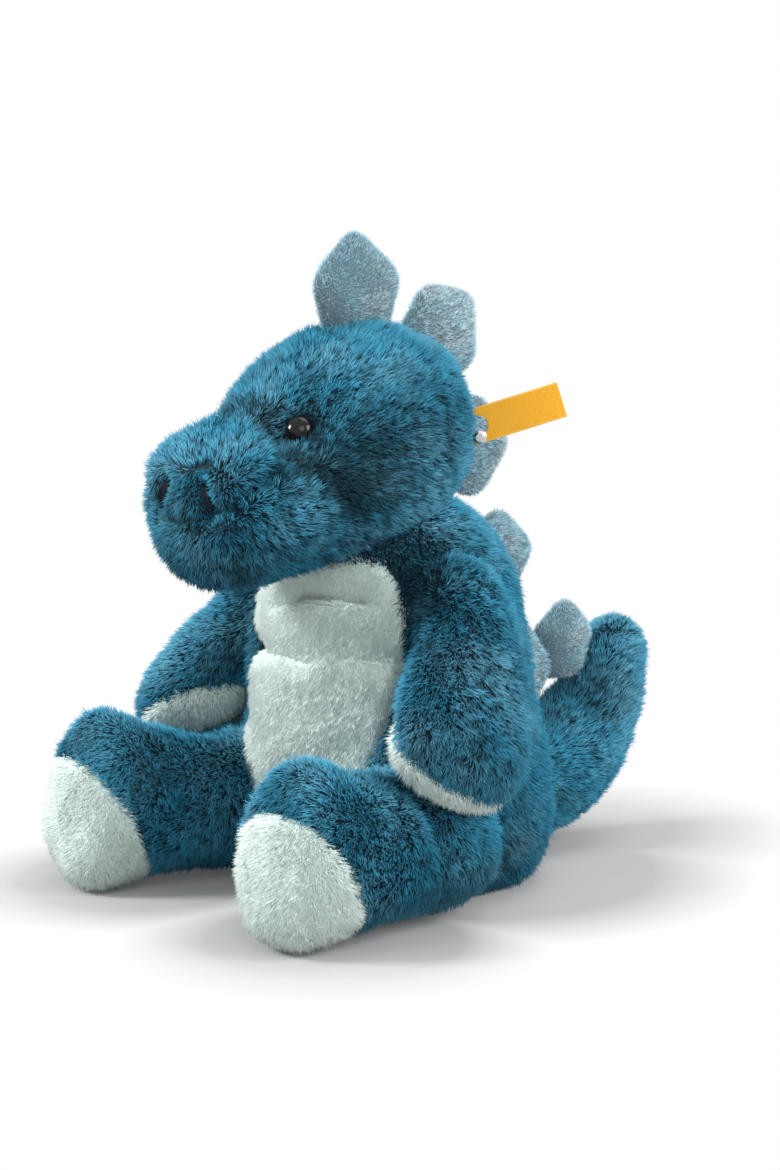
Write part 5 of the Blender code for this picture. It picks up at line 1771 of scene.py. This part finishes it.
def on_torso(x, y, start=0.012):
    """Where a line along the flap's outward direction meets the torso, found by halving."""
    place, across, rise, outward = flap_axes()
    base = place + x[..., None] * across + y[..., None] * rise
    near, far = np.full(x.shape, -0.035), np.full(x.shape, start)
    for _ in range(34):
        middle = (near + far) / 2
        out = torso_outside(base + middle[..., None] * outward) > 0
        far, near = np.where(out, middle, far), np.where(out, near, middle)
    return base + near[..., None] * outward


def on_back(half, low, high, rows, columns):
    """An open fabric on the torso's back under the flap, and its points' x and y there."""
    y = np.linspace(low, high, rows)[:, None] + np.zeros((1, columns))
    x = np.linspace(-half, half, columns)[None, :] + np.zeros((rows, 1))
    base = on_torso(x, y).reshape(-1, 3)
    fabric = open_fabric(base, *sheet_grid(rows, columns), flap_axes()[3])
    fabric.swell(torso_relief(fabric.points))
    return fabric, x.ravel(), y.ravel()


class MakeFlap(DinosaurOperator, bpy.types.Operator):
    """Access flap low on the back with its hook strip, and the loop strip under it"""

    bl_idname = "plush_dinosaur.flap"
    bl_label = "Access flap"

    def execute(self, context):
        half, tall = FLAP_WIDTH / 2, FLAP_HEIGHT / 2
        fabric, x, y = on_back(half, -tall, tall, 52, 36)
        edge = np.minimum(half - np.abs(x), tall - np.abs(y))
        roll = 1 - ease(edge / FLAP_ROLL)
        thin = ease((y + tall - STRIP_MARGIN - STRIP_HEIGHT) / STRIP_INSET)
        outer, inner = FLAP_PROUD - FLAP_ROUND * roll**2, -FLAP_DEPTH - FLAP_THINNER * thin
        closed, outside = shell(fabric, outer, inner)
        rng = np.random.default_rng(801)
        pile = rooted(closed, flowing(closed, (0, 0, -1)), spacing(), rng, outside)
        pile = kept(pile, clear_of(pile[0], ("arm_right", "tail"), 0.0005))
        self.plush("access_flap", "flap", closed, pile, 810, 0.4)
        material = strip_finish()
        low = STRIP_MARGIN - tall
        for name, body, depth, seed in STRIPS:
            fabric, _, _ = on_back(half - STRIP_INSET, low, low + STRIP_HEIGHT, 9, 40)
            closed, outside = shell(fabric, -depth, -depth - STRIP_DEPTH)
            rng = np.random.default_rng(seed)
            if body == "flap":
                outside = np.roll(outside, int(outside.sum()))
            hooks = flowing(closed, (0.3, 0, -1))
            pile = rooted(closed, hooks, SQUARE_MM / TAPE_DENSITY, rng, outside)
            mesh = furry(name + "_tape", closed, pile, seed + 1, pile_look(TAPE))
            place_piece(name + "_tape", mesh, material, body, TAPE, (name,))
        return {"FINISHED"}


class FinishInnerParts(DinosaurOperator, bpy.types.Operator):
    """Plastic, metal and board of the light, the battery box, the eyes' washers and the rivet"""

    bl_idname = "plush_dinosaur.inner_parts"
    bl_label = "Inner parts"

    def execute(self, context):
        finishes = {
            "white_plastic": moulded_finish("white_moulding", (0.80, 0.80, 0.78), 0.46),
            "milky_plastic": lens_finish(),
            "clear_washer": moulded_finish("washer_moulding", (0.75, 0.76, 0.76), 0.40),
            "board_green": board_finish(),
            "led_white": moulded_finish("led_moulding", (0.95, 0.90, 0.62), 0.26, 700.0, 0.03),
            "switch_black": moulded_finish("switch_moulding", (0.02, 0.02, 0.02), 0.42),
            "steel": brushed_finish("brushed_steel", (0.62, 0.62, 0.60), 0.32),
            "rivet_metal": brushed_finish("polished_rivet", (0.80, 0.80, 0.78), 0.24),
            "cell_wrap": cell_finish(),
            "lead_white": moulded_finish("lead_sleeve", (0.75, 0.75, 0.73), 0.52, 600.0, 0.05),
        }
        slots = {part["node"]: part["material_slot"] for part in frame["record"]["subparts"]}
        for name, thing in frame["nodes"].items():
            finish = finishes.get(slots.get(name))
            if finish is not None:
                for place in thing.material_slots:
                    place.material = finish
        return {"FINISHED"}


# Each lamp's name, place, size and power, the camera, and where the toy shades the floor, a painted
# shade where the floor's glow gives way: the centre, and how far from it the shade is full and
# ends. The second one is on both sides.
LAMPS = (
    ("key", (-0.80, -1.40, 0.95), 0.50, 33.0),
    ("fill", (1.5, -0.9, 1.1), 0.9, 8.0),
    ("rim", (1.40, 0.55, 0.90), 0.8, 19.0),
    ("top", (0.1, 0.5, 1.75), 1.0, 8.0),
)
AZIMUTH, ELEVATION, DISTANCE = math.radians(48.4), math.radians(8.2), 1.22
AIM = Vector((-0.0007, -0.0007, 0.1300))
SHADED = (
    (0.015, 0.030, 0.085, 0.130),
    (0.066, -0.090, 0.052, 0.088),
    (-0.012, 0.125, 0.050, 0.108),
)


class MakeStage(DinosaurOperator, bpy.types.Operator):
    """Pale floor, soft lamps, white surroundings and the camera"""

    bl_idname = "plush_dinosaur.stage"
    bl_label = "Stage"

    def execute(self, context):
        scene = context.scene
        scene.view_settings.view_transform = "Standard"
        self.floor()
        self.surroundings(scene)
        for name, place, size, power in LAMPS:
            self.lamp(name, place, size, power)
        camera = bpy.data.objects.new("camera", bpy.data.cameras.new("camera"))
        back = Vector((
            math.sin(AZIMUTH) * math.cos(ELEVATION),
            -math.cos(AZIMUTH) * math.cos(ELEVATION),
            math.sin(ELEVATION),
        ))
        camera.location = AIM + back * DISTANCE
        camera.rotation_euler = back.to_track_quat("Z", "Y").to_euler()
        camera.data.sensor_width = 36.0
        camera.data.lens = 85.7
        camera.data.clip_start = 0.05
        scene.collection.objects.link(camera)
        scene.camera = camera
        return {"FINISHED"}

    def floor(self):
        size = 12.0
        points = size * np.array(((-1, -1, 0), (1, -1, 0), (1, 1, 0), (-1, 1, 0.0)))
        faces = np.array(((0, 1, 2), (0, 2, 3)))
        corners = (points[:, :2] / size / 2 + 0.5)[faces]
        thing = bpy.data.objects.new("floor", mesh_of("floor", open_fabric(points, faces, corners)))
        bpy.context.scene.collection.objects.link(thing)
        finish = Finish("pale_floor", Roughness=0.9, Specular_IOR_Level=0.1)
        speck = finish.noise(40.0, 2.0)
        finish.set(Base_Color=speck.step(0.2, 0.8).mix((0.50, 0.50, 0.50), (0.52, 0.52, 0.52)))
        start = finish.start
        glow = start.make("ShaderNodeEmission", {0: (1.0, 1.0, 1.0), 1: 1.0})
        seen = start.make("ShaderNodeLightPath")
        # The floor glows white for the camera, but less in the discs of SHADED near the toy, where
        # the grey lit floor and its cast shadow show: a painted shade with the discs' outline
        x, y, _ = finish.parts(finish.place())
        aside = start.maths("ABSOLUTE", x)
        apart = start.maths("MINIMUM", 1.0, 1.0)
        for across, (middle_x, middle_y, near, far) in zip((x, aside, x), SHADED):
            off_x, off_y = across - middle_x, y - middle_y
            away = start.maths("SQRT", off_x * off_x + off_y * off_y).step(near, far)
            apart = start.maths("MINIMUM", apart, away)
        share = seen * (apart * 0.94 + 0.06)
        mixed = start.make("ShaderNodeMixShader", {0: share, 1: start, 2: glow})
        out = finish.tree.nodes["Material Output"]
        finish.tree.links.new(mixed.socket, out.inputs["Surface"])
        thing.data.materials.append(finish.material)

    def surroundings(self, scene):
        """A plain grey light, and white for what the camera sees, directly or in gloss."""
        world = bpy.data.worlds.new("surroundings")
        world.use_nodes = True
        scene.world = world
        tree = world.node_tree
        plain = tree.nodes["Background"]
        plain.inputs[0].default_value = (1, 1, 1, 1)
        plain.inputs[1].default_value = 0.53
        start = Wire(tree, plain.outputs[0])
        white = start.make("ShaderNodeBackground", {0: (1.0, 1.0, 1.0), 1: 1.0})
        path = start.make("ShaderNodeLightPath").socket.node
        rays = [Wire(tree, path.outputs[name]) for name in
                ("Is Camera Ray", "Is Glossy Ray", "Is Transmission Ray")]
        seen = (rays[0] + rays[1] + rays[2]).clamped()
        mixed = start.make("ShaderNodeMixShader", {0: seen, 1: start, 2: white})
        tree.links.new(mixed.socket, tree.nodes["World Output"].inputs["Surface"])

    def lamp(self, name, place, size, power):
        light = bpy.data.lights.new(name, "AREA")
        light.size = size
        light.energy = power
        light.specular_factor = 1.0 if name == "key" else 0.15
        thing = bpy.data.objects.new(name, light)
        thing.location = place
        aim = Vector(place) - Vector((0, 0, 0.12))
        thing.rotation_euler = aim.to_track_quat("Z", "Y").to_euler()
        bpy.context.scene.collection.objects.link(thing)


OPERATORS = (
    MakeStage, MakeHead, MakeTorso, MakeBellyPanel, MakeArms, MakeLegs, MakeTail, MakePlates,
    MakeEyes, MakeNostrils, MakeRibbon, MakeFlap, FinishInnerParts,
)


class PlushDinosaurPanel(bpy.types.Panel):
    """The toy's settings, and a button for each group of pieces"""

    bl_idname = "VIEW3D_PT_plush_dinosaur"
    bl_label = "Plush dinosaur"
    bl_space_type = "VIEW_3D"
    bl_region_type = "UI"
    bl_category = "Night light"

    def draw(self, context):
        for name in PlushDinosaurSettings.__annotations__:
            self.layout.prop(context.scene.plush_dinosaur, name)
        for operator in OPERATORS:
            self.layout.operator(operator.bl_idname)


CLASSES = (PlushDinosaurSettings, *OPERATORS, PlushDinosaurPanel)


def register():
    for each in CLASSES:
        bpy.utils.register_class(each)
    bpy.types.Scene.plush_dinosaur = PointerProperty(type=PlushDinosaurSettings)


def unregister():
    del bpy.types.Scene.plush_dinosaur
    for each in reversed(CLASSES):
        bpy.utils.unregister_class(each)


def main():
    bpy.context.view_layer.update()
    register()
    for operator in OPERATORS:
        group, name = operator.bl_idname.split(".")
        getattr(getattr(bpy.ops, group), name)()


if __name__ == "__main__":
    main()
